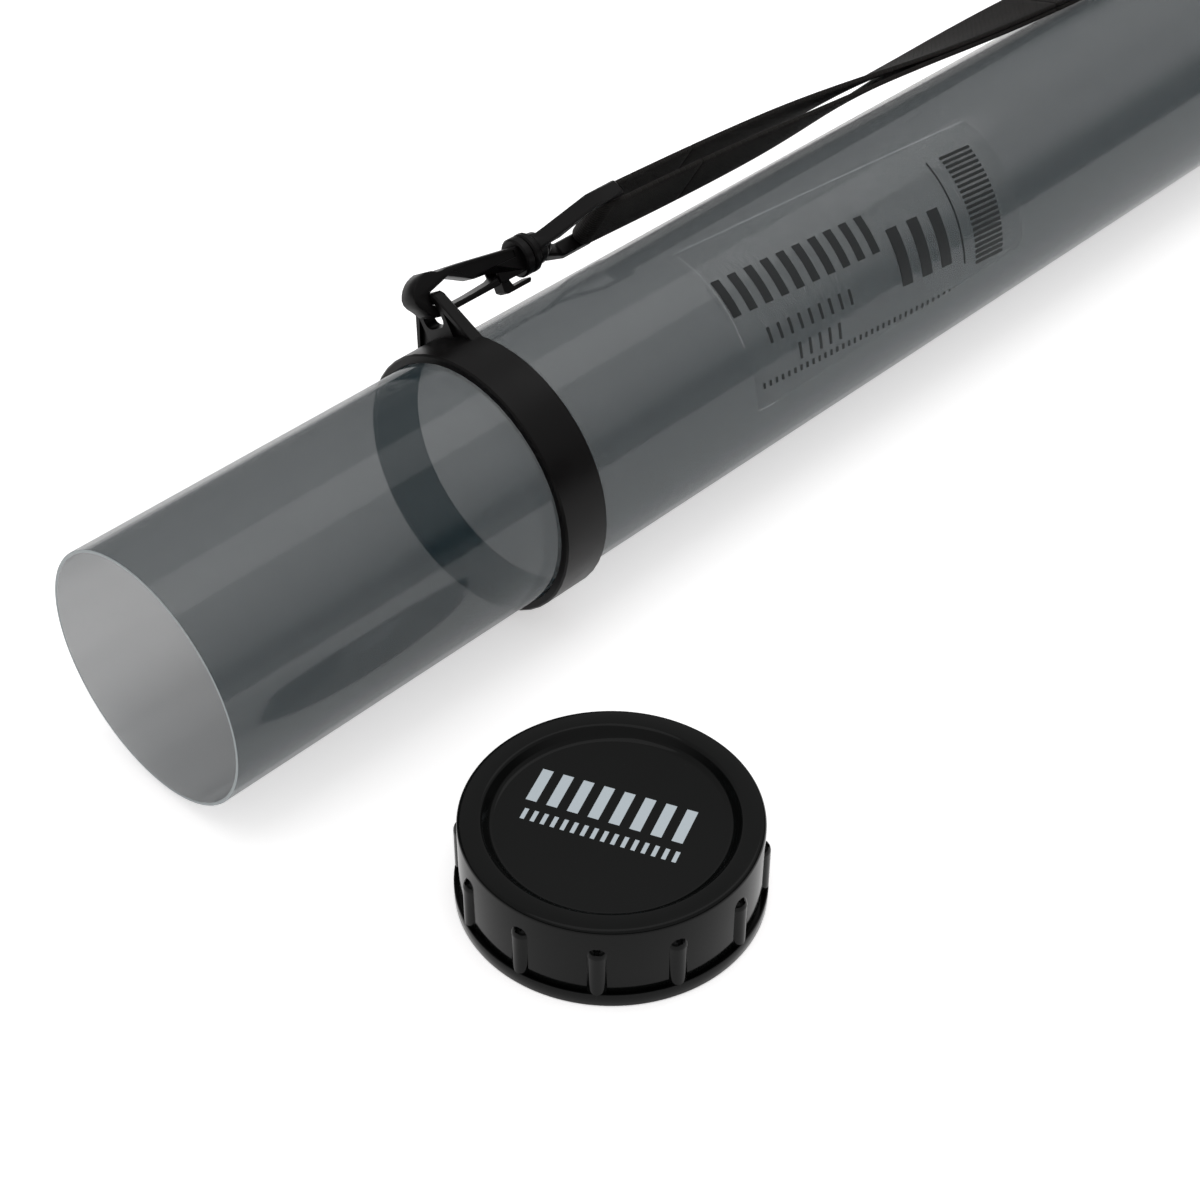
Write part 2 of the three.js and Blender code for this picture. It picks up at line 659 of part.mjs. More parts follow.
function strapGeometry() {
  const rise = slideRise;
  const farBarY = tubeLength - crossbarY;
  const innerTurn = slideBar / 2 + seatClearance + webThickness / 2;
  const outerTurn = innerTurn + webThickness + layerGap;
  const overBar = slideCentre - slideThickness / 2 - slideLift;
  const fixedTop = overBar - seatClearance - webThickness / 2;
  const runningTop = fixedTop - webThickness - layerGap;
  const lowRest = layerHalf;
  const singleOffset = (y) => {
    const settle = THREE.MathUtils.smoothstep(y, slidePlace + 15, slidePlace + 55);
    const merge = THREE.MathUtils.smoothstep(y, farBarY - 90, farBarY - 45);
    const open = THREE.MathUtils.smoothstep(y, farBarY - 16, farBarY - 3);
    const resting = THREE.MathUtils.lerp(-layerHalf - rise(y), lowRest, settle);
    const sewn = THREE.MathUtils.lerp(resting, -sewnSpacing / 2, merge);
    return THREE.MathUtils.lerp(sewn, -barLayerHalf, open);
  };
  const tailOffset = (y) => {
    const open = THREE.MathUtils.smoothstep(y, farBarY - 16, farBarY - 3);
    return THREE.MathUtils.lerp(sewnSpacing / 2, barLayerHalf, open);
  };
  const fixedEnd = slidePlace - outerTurn - 2.2;
  const main = [
    [slidePlace + innerTurn, layerHalf - slideLift - 0.9],
    [slidePlace + innerTurn, fixedTop + 0.9],
    [slidePlace + innerTurn - 0.7, fixedTop],
    [slidePlace - innerTurn + 0.7, fixedTop],
    [slidePlace - innerTurn, fixedTop + 0.9],
    [slidePlace - innerTurn, layerHalf - slideLift - 0.9],
    [slidePlace - innerTurn - 0.9, layerHalf - slideLift],
    ...span(fixedEnd, crossbarY + 1, 11, (y) => layerOffset(y) - rise(y)),
    ...turn(crossbarY, 0, barTurnRadius, 75, 285, 10),
    ...span(crossbarY + 1, fixedEnd, 11, (y) => -layerOffset(y) - rise(y)),
    [slidePlace - outerTurn - 0.9, -layerHalf - slideLift],
    [slidePlace - outerTurn, -layerHalf - slideLift - 0.9],
    [slidePlace - outerTurn, runningTop + 0.9],
    [slidePlace - outerTurn + 0.9, runningTop],
    [slidePlace + outerTurn - 0.9, runningTop],
    [slidePlace + outerTurn, runningTop + 0.9],
    [slidePlace + outerTurn, -layerHalf - slideLift - 0.9],
    [slidePlace + outerTurn + 0.9, -layerHalf - slideLift],
    ...span(slidePlace + outerTurn + 3, farBarY - 1, 11, singleOffset),
    ...turn(farBarY, 0, barTurnRadius, -75, 75, 8),
  ];
  const farTail = span(farBarY - 0.5, farBarY - 12 - sewnLength, 6, tailOffset);
  const tailLevel = layerHalf + sewnSpacing;
  const slideTail = [
    [slidePlace + innerTurn, layerHalf - slideLift - 1.4],
    [slidePlace + innerTurn, tailLevel - slideLift - 0.8],
    [slidePlace + innerTurn - 0.8, tailLevel - slideLift],
    ...span(slidePlace, slidePlace - 8 - sewnLength, 9, (y) => tailLevel - rise(y)),
  ];
  return toGeometry(union([webStrip(main), webStrip(farTail), webStrip(slideTail)]));
}

// Strap slide: a flat three-barred frame drawn in X along the strap and Y across it.
function slideGeometry() {
  const outer = roundedRectangle(0, 0, slideHalfLength, slotHalfWidth + slideRim, 2.5);
  for (const side of [-1, 1]) {
    outer.holes.push(roundedRectangle(side * slotMiddle, 0, slideSlot / 2, slotHalfWidth, 0.6));
  }
  return slab(outer, slideThickness, 0.5, 3);
}

function slideMatrix() {
  const { width } = strapFrame(slidePlace);
  const angle = THREE.MathUtils.radToDeg(Math.atan2(width.y, width.x));
  const origin = strapPoint(slidePlace, slideCentre - slideLift, 0);
  return frameAt(origin, angle, false);
}

// Label: a strip of clear film wrapped part way round the tube.
function labelGeometry() {
  const inner = tubeRadius + labelGap;
  const outer = inner + labelThickness;
  const [low, high] = [radians(labelLowAngle), radians(labelHighAngle)];
  const shape = new THREE.Shape();
  shape.absarc(0, 0, outer, low, high, false);
  shape.absarc(0, 0, inner, high, low, true);
  return slab(shape, labelLength, 0, 16);
}

const middleY = tubeLength / 2;
const hookOrigin = new THREE.Vector3(lugDirection.x * barRadius, lugPlane, lugDirection.y * barRadius + axisHeight);
const loopOrigin = new THREE.Vector3(swivelAxis.x, lugPlane, swivelAxis.y + axisHeight);
const mirrored = (point) => point.clone().setY(2 * middleY - point.y);

place('tube', tubeGeometry(), smokedClear, axisPlace);

for (const [prefix, farEnd] of [['near', false], ['far', true]]) {
  const settle = (point) => (farEnd ? mirrored(point) : point);
  const collarY = farEnd ? tubeLength - collarInset - collarWidth : collarInset;
  const collarPlace = new THREE.Matrix4().makeTranslation(0, collarY, axisHeight);
  const hookPlace = frameAt(settle(hookOrigin), lugAngle, farEnd);
  const loopPlace = frameAt(settle(loopOrigin), loopTurn, farEnd);
  place(`${prefix}_collar`, collarGeometry(farEnd), blackPlastic, collarPlace);
  place(`${prefix}_hook`, hookGeometry(), blackPlastic, hookPlace);
  place(`${prefix}_hook_gate`, gateGeometry(), blackPlastic, hookPlace);
  place(`${prefix}_hook_loop`, loopGeometry(), blackPlastic, loopPlace);
}

place('strap', strapGeometry(), blackWebbing);
place('strap_slide', slideGeometry(), blackPlastic, slideMatrix());

// The near cap stands beside the tube on its mouth; the far cap is pushed home over the tube's end.
const uprightCap = new THREE.Matrix4().makeRotationX(Math.PI / 2);
uprightCap.setPosition(looseCapX, looseCapY, 0);
place('near_cap', capGeometry(), glossBlack, uprightCap);
const capSeat = tubeLength - (capHeight - capRimWall - seatClearance);
place('far_cap', capGeometry(), glossBlack, new THREE.Matrix4().makeTranslation(0, capSeat, axisHeight));

const labelPlace = new THREE.Matrix4().makeRotationX(Math.PI / 2);
labelPlace.setPosition(0, labelStart + labelLength / 2, axisHeight);
place('label', labelGeometry(), clearFilm, labelPlace);

// The origin is the middle of the footprint, on the ground.
model.updateMatrixWorld(true);
const extent = new THREE.Box3().setFromObject(model, true);
const footprint = extent.getCenter(new THREE.Vector3());
const centred = new THREE.Group();
centred.position.set(-footprint.x, -footprint.y, -extent.min.z);
centred.add(model);
centred.updateMatrixWorld(true);

export default centred;
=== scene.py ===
"""A clear storage tube for rolled drawings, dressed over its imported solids."""

import math

import bmesh
import bpy
from bpy.props import FloatProperty, FloatVectorProperty, IntProperty, PointerProperty
from mathutils import Matrix, Vector


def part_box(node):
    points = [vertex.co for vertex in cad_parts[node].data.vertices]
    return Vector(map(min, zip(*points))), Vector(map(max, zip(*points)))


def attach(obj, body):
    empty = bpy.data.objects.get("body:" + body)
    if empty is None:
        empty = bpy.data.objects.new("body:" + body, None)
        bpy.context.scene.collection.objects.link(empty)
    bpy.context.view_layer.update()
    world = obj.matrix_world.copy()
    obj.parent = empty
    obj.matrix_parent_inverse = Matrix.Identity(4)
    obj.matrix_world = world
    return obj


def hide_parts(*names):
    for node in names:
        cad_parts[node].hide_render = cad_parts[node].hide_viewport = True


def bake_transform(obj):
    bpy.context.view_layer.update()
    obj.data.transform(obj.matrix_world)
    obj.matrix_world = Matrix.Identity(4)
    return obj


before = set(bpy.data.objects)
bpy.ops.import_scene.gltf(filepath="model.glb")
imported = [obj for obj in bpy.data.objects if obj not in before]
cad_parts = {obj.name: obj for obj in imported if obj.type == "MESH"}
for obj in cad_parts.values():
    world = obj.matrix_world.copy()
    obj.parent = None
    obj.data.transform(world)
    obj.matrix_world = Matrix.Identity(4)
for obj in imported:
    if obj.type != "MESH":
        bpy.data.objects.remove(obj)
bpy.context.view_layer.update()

bl_info = {
    "name": "Storage tube",
    "version": (1, 0, 0),
    "blender": (4, 5, 0),
    "location": "3D View > Sidebar > Storage tube",
    "description": "Builds the tube, caps, collars, hooks, strap and label of a storage tube",
    "category": "Object",
}

TUBE_LOW, TUBE_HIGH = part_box("tube")
MOUTH = Vector(((TUBE_LOW.x + TUBE_HIGH.x) / 2, TUBE_LOW.y, (TUBE_LOW.z + TUBE_HIGH.z) / 2))
TUBE_LENGTH = TUBE_HIGH.y - TUBE_LOW.y
LOOSE_LOW, LOOSE_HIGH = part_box("near_cap")
FAR_CAP_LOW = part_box("far_cap")[0]
LOOP_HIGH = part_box("near_hook_loop")[1]
LABEL_LOW, LABEL_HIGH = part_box("label")
SLIDE_LOW, SLIDE_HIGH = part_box("strap_slide")

PLAY = 0.0003
CAMERA_PLACE = (0.33075, -0.70235, 0.43635)
CAMERA_RIGHT = (0.715, 0.699, 0.0)
CAMERA_UP = (-0.455, 0.466, 0.759)


def length(name, description, default):
    return FloatProperty(name=name, description=description, default=default, unit="LENGTH", precision=5)


def turn_of(name, description, degrees):
    return FloatProperty(name=name, description=description, default=math.radians(degrees), subtype="ANGLE")


def colour(name, description, default):
    return FloatVectorProperty(name=name, description=description, default=default, subtype="COLOR", size=3,
                               min=0.0, max=1.0)


class TubeSizes(bpy.types.PropertyGroup):
    radius: length("Radius", "Outside radius of the tube", 0.036)
    wall: length("Wall", "Thickness of the tube's wall", 0.001)
    rim_easing: length("Rim easing", "Rounding on the edges of the tube's two rims", 0.0003)
    sides: IntProperty(name="Sides", description="Faces round the tube", default=160, min=24)


class CapSizes(bpy.types.PropertyGroup):
    height: length("Height", "Height of a cap over its rim", 0.0242)
    seat_radius: length("Seat radius", "Inside radius of the skirt", 0.0363)
    skirt_wall: length("Skirt wall", "Thickness of the skirt", 0.00095)
    top_wall: length("Top wall", "Thickness of the top rim", 0.0014)
    panel_wall: length("Panel wall", "Thickness of the dished panel", 0.0015)
    flange_radius: length("Flange radius", "Outside radius of the flange at the mouth", 0.0386)
    flange_height: length("Flange height", "Height of the flange at the mouth", 0.0038)
    groove_depth: length("Groove depth", "Depth of the groove behind the flange's lip", 0.0012)
    lip_width: length("Lip width", "Width of the flange's lip", 0.0006)
    mouth_relief: length("Mouth relief", "Widening of the seat at the mouth", 0.0004)
    mouth_depth: length("Mouth depth", "Depth of that widening", 0.0008)
    recess_radius: length("Recess radius", "Radius of the dish at the top", 0.0314)
    panel_radius: length("Panel radius", "Radius of the dish at its floor", 0.0294)
    recess_depth: length("Recess depth", "Depth of the dish", 0.003)
    rib_count: IntProperty(name="Ribs", description="Grip ribs round the skirt", default=12, min=3)
    rib_radius: length("Rib radius", "Radius of a grip rib", 0.0027)
    rib_top: length("Rib top", "Height of a grip rib", 0.0186)
    rib_depth: length("Rib depth", "Part of a rib that reaches behind its own middle", 0.0003)
    pit_radius: length("Pit radius", "Radius of the dark pit on a rib's dome", 0.0009)
    pit_depth: length("Pit depth", "Depth of the pit", 0.00045)
    print_turn: turn_of("Print turn", "Slope of the printed bars on a cap", 22.7)
    rib_phase: turn_of("Rib phase", "Turn of the first rib from the right-hand side", 9)


class StrapSizes(bpy.types.PropertyGroup):
    width: length("Width", "Width of the webbing", 0.020)
    thickness: length("Thickness", "Thickness of the webbing", 0.0014)
    layer_gap: length("Layer gap", "Gap between the two layers where they lie together", 0.0003)
    bar_height: length("Bar height", "Thickness of the crossbar that the webbing turns round", 0.003)
    sewn_spacing: length("Sewn spacing", "Distance of the layers' middles where they are sewn", 0.00156)
    slide_lift: length("Slide lift", "Rise of the webbing over the slide's frame", 0.0015)
    slide_bar: length("Slide bar", "Width of the slide's middle bar", 0.003)
    slide_height: length("Slide height", "Thickness of the slide", 0.0024)
    crossbar: length("Crossbar", "Place of the near crossbar along the tube", LOOP_HIGH.y - TUBE_LOW.y - 0.0035)
    slide_place: length("Slide place", "Middle of the slide along the tube",
                        (SLIDE_LOW.y + SLIDE_HIGH.y) / 2 - TUBE_LOW.y)
    lug_angle: turn_of("Lug angle", "Direction of the hooks round the tube", 122.5)
    swivel_radius: length("Swivel radius", "Distance of the hooks' swivels from the tube's axis", 0.0478)
    loop_turn: turn_of("Loop turn", "Slope of the webbing at the crossbars", 60)
    rest_turn: turn_of("Rest turn", "Slope of the webbing where it lies on the tube", 11.6)


class HookSizes(bpy.types.PropertyGroup):
    bow_place: length("Bow place", "Middle of the bow along the tube", 0.12215)
    bow_radius: length("Bow radius", "Middle of the bow from the tube's axis", 0.04910)
    slot: length("Slot", "Inside radius of the bow", 0.00216)
    bow: length("Bow", "Outside radius of the bow", 0.00516)
    bow_growth: length("Bow growth", "Extra thickness on the outside of the bow", 0.0021)
    knee: length("Knee", "Distance from the bow's middle to the shank", 0.014)
    knee_top: length("Knee top", "Height of the shank's upper edge at the knee", 0.0026)
    knee_under: length("Knee under", "Height of the shank's lower edge at the knee", 0.0003)
    end: length("End", "Distance from the bow's middle to the shank's end", 0.031)
    shank_top: length("Shank top", "Height of the shank's upper edge at its end", 0.0021)
    end_under: length("End under", "Height of the shank's lower edge at its end", -0.0013)
    cheek: length("Cheek", "Distance from the bow's middle to the cheeks", 0.0215)
    rise: length("Rise", "Extra height on the shank's upper edge", 0.0023)
    knee_drop: length("Knee drop", "Extra depth under the knee", 0.0007)
    cheek_drop: length("Cheek drop", "Extra depth in front of the cheeks", 0.0008)


class LabelSizes(bpy.types.PropertyGroup):
    low_angle: turn_of("Low edge", "Lower edge of the label round the tube", 3)
    high_angle: turn_of("High edge", "Upper edge of the label round the tube", 92)
    gap: length("Gap", "Distance of the film from the tube", 0.0001)
    thickness: length("Thickness", "Thickness of the film", 0.0002)
    tilt: turn_of("Tilt", "Slope of the print against the tube", 5)


class Finishes(bpy.types.PropertyGroup):
    smoke: colour("Smoke", "Tint of the clear tube", (0.011, 0.027, 0.034))
    smoke_cover: FloatProperty(name="Smoke cover", description="Light held back by one face of the tube's wall",
                               default=0.475, min=0.0, max=1.0)
    satin_black: colour("Satin black", "Collars, hooks and slide", (0.0026, 0.0023, 0.0024))
    gloss_black: colour("Gloss black", "Caps", (0.0022, 0.0024, 0.0023))
    webbing: colour("Webbing", "Yarn of the shoulder strap", (0.009, 0.0078, 0.0072))
    film: colour("Film", "Haze of the label's clear film", (0.16, 0.18, 0.185))
    film_edge: colour("Film edge", "Bright cut edge of the label's film", (0.55, 0.58, 0.59))
    ink: colour("Ink", "Print on the label", (0.028, 0.030, 0.031))
    cap_print: colour("Cap print", "Plain pale bars on the caps", (0.53, 0.59, 0.63))
    floor: colour("Floor", "Seamless backdrop", (0.93, 0.93, 0.93))


class StageSizes(bpy.types.PropertyGroup):
    lens: FloatProperty(name="Lens", description="Focal length on a 36 mm sensor, in millimetres", default=71.72)
    key_power: FloatProperty(name="Key power", description="Power of the overhead softbox", default=6.5, unit="POWER")
    floor_glow: FloatProperty(name="Floor glow", description="Light that the lit backdrop gives by itself",
                              default=0.5)
    sky: FloatProperty(name="Sky", description="Strength of the even light overhead", default=0.78)
    horizon: FloatProperty(name="Horizon", description="Height of the even light's lower edge", default=0.39)
    dusk: FloatProperty(name="Dusk", description="Share of the light under that edge", default=0.12)


def sizes(name):
    return getattr(bpy.context.scene, "storage_tube_" + name)


# Meshes

def finished(name, mesh, materials, body, replaces=()):
    """Turns a bmesh into a piece that rides on a body."""
    data = bpy.data.meshes.new(name)
    mesh.to_mesh(data)
    mesh.free()
    piece = bpy.data.objects.new(name, data)
    bpy.context.scene.collection.objects.link(piece)
    for material in materials:
        data.materials.append(material)
    if body:
        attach(piece, body)
    if replaces:
        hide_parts(*replaces)
    return piece


def shade_smooth(mesh, sharp_degrees=32):
    for face in mesh.faces:
        face.smooth = True
    for edge in mesh.edges:
        wide = len(edge.link_faces) == 2 and edge.calc_face_angle(0) > math.radians(sharp_degrees)
        edge.smooth = not wide


def spun(profile, sides, softened=(), closed=False):
    """A profile of (radius, height) corners turned about Z, with some of its corners rounded."""
    mesh = bmesh.new()
    corners = [mesh.verts.new((radius, 0, height)) for radius, height in profile]
    edges = [mesh.edges.new(pair) for pair in zip(corners, corners[1:])]
    if closed:
        edges.append(mesh.edges.new((corners[-1], corners[0])))
    bmesh.ops.spin(mesh, geom=corners + edges, cent=(0, 0, 0), axis=(0, 0, 1), angle=math.tau, steps=sides,
                   use_merge=True)
    bmesh.ops.remove_doubles(mesh, verts=mesh.verts, dist=1e-7)
    bmesh.ops.recalc_face_normals(mesh, faces=mesh.faces)
    for radius, height, width, segments in softened:
        ring = [edge for edge in mesh.edges if all(on_ring(corner.co, radius, height) for corner in edge.verts)]
        bmesh.ops.bevel(mesh, geom=ring, offset=width, offset_type="OFFSET", segments=segments, profile=0.5,
                        affect="EDGES", clamp_overlap=True, material=-1)
    return mesh


def on_ring(point, radius, height):
    return abs(math.hypot(point.x, point.y) - radius) < 2e-6 and abs(point.z - height) < 2e-6


def dressed(node, name, body, material, easing=0.00018, sharp_degrees=32, shape=None):
    """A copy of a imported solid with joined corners, smooth curves and eased edges, in the solid's place."""
    mesh = bmesh.new()
    mesh.from_mesh(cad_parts[node].data)
    bmesh.ops.remove_doubles(mesh, verts=mesh.verts, dist=2e-6)
    bmesh.ops.dissolve_limit(mesh, angle_limit=math.radians(1.5), verts=mesh.verts, edges=mesh.edges)
    if shape:
        shape(mesh)
    shade_smooth(mesh, sharp_degrees)
    piece = finished(name, mesh, [material], body, [node])
    if easing:
        bevel = piece.modifiers.new("eased edges", "BEVEL")
        bevel.width = easing
        bevel.segments = 2
        bevel.limit_method = "ANGLE"
        bevel.angle_limit = math.radians(sharp_degrees)
    return piece


# Finishes

def add_node(tree, kind, place, **values):
    node = tree.nodes.new(kind)
    node.location = place
    for name, value in values.items():
        if hasattr(node, name):
            setattr(node, name, value)
        else:
            node.inputs[name.replace("_", " ")].default_value = value
    return node


def link(first, output, second, socket):
    first.id_data.links.new(first.outputs[output], second.inputs[socket])


def made_once(kind, name):
    """Lets a maker run once, and gives what it made after that."""
    def decorate(make):
        def made():
            return getattr(bpy.data, kind).get(name) or make(name)
        return made
    return decorate


def new_group(name, inputs, outputs):
    """A shader group with number sockets, and with its input and output nodes."""
    group = bpy.data.node_groups.new(name, "ShaderNodeTree")
    for way, sockets in (("INPUT", inputs), ("OUTPUT", outputs)):
        for socket in sockets:
            kind = "NodeSocketVector" if socket == "Normal" else "NodeSocketFloat"
            group.interface.new_socket(socket, in_out=way, socket_type=kind)
    return group, add_node(group, "NodeGroupInput", (-900, 0)), add_node(group, "NodeGroupOutput", (900, 0))


def new_finish(name, **values):
    """A material of one principled shader with these values."""
    material = bpy.data.materials.new(name)
    material.use_nodes = True
    tree = material.node_tree
    tree.nodes.clear()
    output = add_node(tree, "ShaderNodeOutputMaterial", (400, 0))
    shader = add_node(tree, "ShaderNodeBsdfPrincipled", (100, 0), **values)
    link(shader, "BSDF", output, "Surface")
    return material, tree, shader


def math_node(tree, place, operation, *values, clamp=False):
    node = add_node(tree, "ShaderNodeMath", place, operation=operation, use_clamp=clamp)
    for socket, value in zip(node.inputs, values):
        if isinstance(value, (int, float)):
            socket.default_value = value
        else:
            tree.links.new(value, socket)
    return node.outputs[0]


def mixed_colour(tree, place, factor, first, second):
    node = add_node(tree, "ShaderNodeMix", place, data_type="RGBA")
    for socket, value in ((node.inputs[0], factor), (node.inputs[6], first), (node.inputs[7], second)):
        if hasattr(value, "is_output"):
            tree.links.new(value, socket)
        elif isinstance(value, (int, float)):
            socket.default_value = value
        else:
            socket.default_value = (*value, 1.0)
    return node.outputs[2]


def object_noise(tree, place, **values):
    """Noise on the piece's own coordinates."""
    noise = add_node(tree, "ShaderNodeTexNoise", place, **values)
    link(add_node(tree, "ShaderNodeTexCoord", (place[0] - 200, place[1])), "Object", noise, "Vector")
    return noise


@made_once("node_groups", "moulded grain")
def moulded_grain(name):
    """Shader group: fine waviness and dust that moulded plastic shows, as a mask and a normal."""
    group, start, end = new_group(name, ("Scale", "Relief"), ("Cloud", "Normal"))
    fine = object_noise(group, (-300, 0), Detail=3.0, Roughness=0.6)
    broad = object_noise(group, (-300, -250), Scale=60.0, Detail=4.0, Roughness=0.55)
    bump = add_node(group, "ShaderNodeBump", (100, 0), Distance=0.0002)
    link(start, "Scale", fine, "Scale")
    link(start, "Relief", bump, "Strength")
    link(fine, "Fac", bump, "Height")
    link(broad, "Fac", end, "Cloud")
    link(bump, "Normal", end, "Normal")
    return group


def moulded_plastic(name, base, roughness, spread, relief, scale, shine):
    """Black moulded plastic: a slightly cloudy gloss over fine moulded grain."""
    if name in bpy.data.materials:
        return bpy.data.materials[name]
    material, tree, shader = new_finish(name, Specular_IOR_Level=shine)
    grain = add_node(tree, "ShaderNodeGroup", (-500, -200), node_tree=moulded_grain(), Scale=scale, Relief=relief)
    gloss = add_node(tree, "ShaderNodeMapRange", (-200, -100), From_Min=0.3, From_Max=0.7,
                     To_Min=roughness - spread, To_Max=roughness + spread)
    link(grain, "Cloud", gloss, "Value")
    link(gloss, "Result", shader, "Roughness")
    link(grain, "Normal", shader, "Normal")
    shade = mixed_colour(tree, (-200, 200), grain.outputs["Cloud"], base, tuple(part * 1.5 for part in base))
    tree.links.new(shade, shader.inputs["Base Color"])
    return material


def satin_black():
    base = tuple(sizes("finishes").satin_black)
    return moulded_plastic("satin black plastic", base, 0.36, 0.06, 0.05, 1400.0, 0.12)


def gloss_black():
    base = tuple(sizes("finishes").gloss_black)
    return moulded_plastic("gloss black plastic", base, 0.13, 0.03, 0.015, 700.0, 0.12)


@made_once("materials", "smoked clear plastic")
def smoked_clear(name):
    """Smoked clear plastic: each face of the wall holds back part of the light, more where it is seen edge-on."""
    finishes = sizes("finishes")
    material, tree, shader = new_finish(name, Roughness=0.11, Specular_IOR_Level=0.6, IOR=1.58)
    edge = add_node(tree, "ShaderNodeLayerWeight", (-700, -100), Blend=0.35)
    steep = math_node(tree, (-500, -100), "POWER", edge.outputs["Facing"], 3.0)
    gain = math_node(tree, (-300, -100), "MULTIPLY", steep, 0.45)
    place = add_node(tree, "ShaderNodeTexCoord", (-1100, 200))
    stretch = add_node(tree, "ShaderNodeMapping", (-900, 200), Scale=(60.0, 2.5, 60.0))
    drawn = add_node(tree, "ShaderNodeTexNoise", (-700, 200), Scale=1.0, Detail=3.0, Roughness=0.5)
    link(place, "Object", stretch, "Vector")
    link(stretch, "Vector", drawn, "Vector")
    streak = math_node(tree, (-500, 60), "MULTIPLY_ADD", drawn.outputs["Fac"], 0.05, finishes.smoke_cover - 0.025)
    cover = math_node(tree, (-100, -100), "ADD", streak, gain, clamp=True)
    tree.links.new(cover, shader.inputs["Alpha"])
    tint = mixed_colour(tree, (-300, 300), drawn.outputs["Fac"], tuple(finishes.smoke),
                        tuple(part * 1.15 for part in finishes.smoke))
    tree.links.new(tint, shader.inputs["Base Color"])
    bump = add_node(tree, "ShaderNodeBump", (-300, -350), Strength=0.004, Distance=0.0003)
    link(drawn, "Fac", bump, "Height")
    link(bump, "Normal", shader, "Normal")
    material.surface_render_method = "BLENDED"
    return material


@made_once("materials", "cut rim plastic")
def rim_plastic(name):
    """The cut rim of the smoked tube, frosted and paler than the wall."""
    material, tree, shader = new_finish(name, Roughness=0.4)
    scratches = object_noise(tree, (-400, 0), Scale=1500.0, Detail=2.0)
    shade = mixed_colour(tree, (-200, 0), scratches.outputs["Fac"], (0.20, 0.225, 0.235), (0.32, 0.35, 0.36))
    tree.links.new(shade, shader.inputs["Base Color"])
    return material


@made_once("node_groups", "webbing weave")
def weave_pattern(name):
    """Shader group: plain woven webbing on the piece's own UV map, in metres."""
    group, _, end = new_group(name, (), ("Yarn", "Fuzz"))
    place = add_node(group, "ShaderNodeUVMap", (-800, 0), uv_map="weave")
    rows = add_node(group, "ShaderNodeTexBrick", (-400, 100), offset=0.5, offset_frequency=2, squash=1.0, Scale=1.0,
                    Color1=(1.0, 1.0, 1.0, 1.0), Color2=(0.72, 0.72, 0.72, 1.0), Mortar=(0.0, 0.0, 0.0, 1.0),
                    Mortar_Size=0.00018, Mortar_Smooth=1.0, Brick_Width=0.0022, Row_Height=0.00095)
    fibres = add_node(group, "ShaderNodeTexNoise", (-400, -250), Scale=2600.0, Detail=3.0, Roughness=0.7)
    link(place, "UV", rows, "Vector")
    link(place, "UV", fibres, "Vector")
    grey = add_node(group, "ShaderNodeRGBToBW", (-100, 100))
    link(rows, "Color", grey, "Color")
    link(grey, "Val", end, "Yarn")
    link(fibres, "Fac", end, "Fuzz")
    return group


@made_once("materials", "black webbing")
def black_webbing(name):
    """Black woven webbing with yarn relief, its colour painted lighter on the raised yarns and darker in the gaps
    between them as painted light and shade.
    """
    base = tuple(sizes("finishes").webbing)
    material, tree, shader = new_finish(name, Roughness=0.72, Sheen_Weight=0.03, Specular_IOR_Level=0.12,
                                        Sheen_Roughness=0.5)
    weave = add_node(tree, "ShaderNodeGroup", (-700, 0), node_tree=weave_pattern())
    relief = math_node(tree, (-500, -200), "MULTIPLY_ADD", weave.outputs["Fuzz"], 0.25, weave.outputs["Yarn"])
    bump = add_node(tree, "ShaderNodeBump", (-200, -200), Strength=0.8, Distance=0.0004)
    tree.links.new(relief, bump.inputs["Height"])
    link(bump, "Normal", shader, "Normal")
    # Painted light and shade: the colour follows the yarn relief, lighter on the highest yarns and darkest in the
    # gaps between them.
    shade = mixed_colour(tree, (-200, 100), weave.outputs["Yarn"], tuple(part * 0.35 for part in base),
                         tuple(part * 1.5 for part in base))
    tree.links.new(shade, shader.inputs["Base Color"])
    return material


@made_once("node_groups", "print block")
def print_block(name):
    """Shader group: 1 on upright bars that fill a rectangle of a print, 0 elsewhere."""
    group, start, end = new_group(name, ("Across", "Up") + MARK_SIZES, ("Inside",))
    inside = None
    for row, (value, limit, way) in enumerate((("Across", "Left", "GREATER_THAN"), ("Across", "Right", "LESS_THAN"),
                                               ("Up", "Low", "GREATER_THAN"), ("Up", "High", "LESS_THAN"))):
        test = math_node(group, (-500, -160 * row), way, start.outputs[value], start.outputs[limit])
        inside = test if inside is None else math_node(group, (-300 + 200 * row, -160), "MULTIPLY", inside, test)
    reach = math_node(group, (-500, 300), "SUBTRACT", start.outputs["Across"], start.outputs["Left"])
    beat = math_node(group, (-300, 300), "DIVIDE", reach, start.outputs["Pitch"])
    part = math_node(group, (-100, 300), "FRACT", beat)
    bar = math_node(group, (100, 300), "LESS_THAN", part, start.outputs["Share"])
    group.links.new(math_node(group, (600, 0), "MULTIPLY", inside, bar), end.inputs["Inside"])
    return group


# Plain marks of the label in millimetres, and the bars' share of their pitch
MARK_SIZES = ("Left", "Right", "Low", "High", "Pitch", "Share")
PRINT_MARKS = (
    (-1.0, 61.0, 30.5, 42.5, 6.3, 0.48),
    (8.0, 45.0, 19.8, 24.4, 4.2, 0.22),
    (18.0, 37.0, 11.8, 16.6, 4.2, 0.22),
    (2.0, 88.0, 8.4, 10.0, 2.6, 0.3),
    (64.0, 88.0, 18.0, 35.5, 9.0, 0.5),
    (92.3, 92.8, 16.0, 49.0, 9.0, 1.0),
)
STRIPES = (14.0, 49.0, 98.0, 111.0, 1.7, 0.55)
FILM_EDGES = ((-2.0, 122.0, "X"), (2.5, 57.0, "Y"))

# Plain marks of a cap
CAP_MARKS = ((-22.5, 19.6, 0.2, 11.4, 5.4, 0.52), (-21.4, 20.0, -6.2, -2.6, 2.6, 0.42))


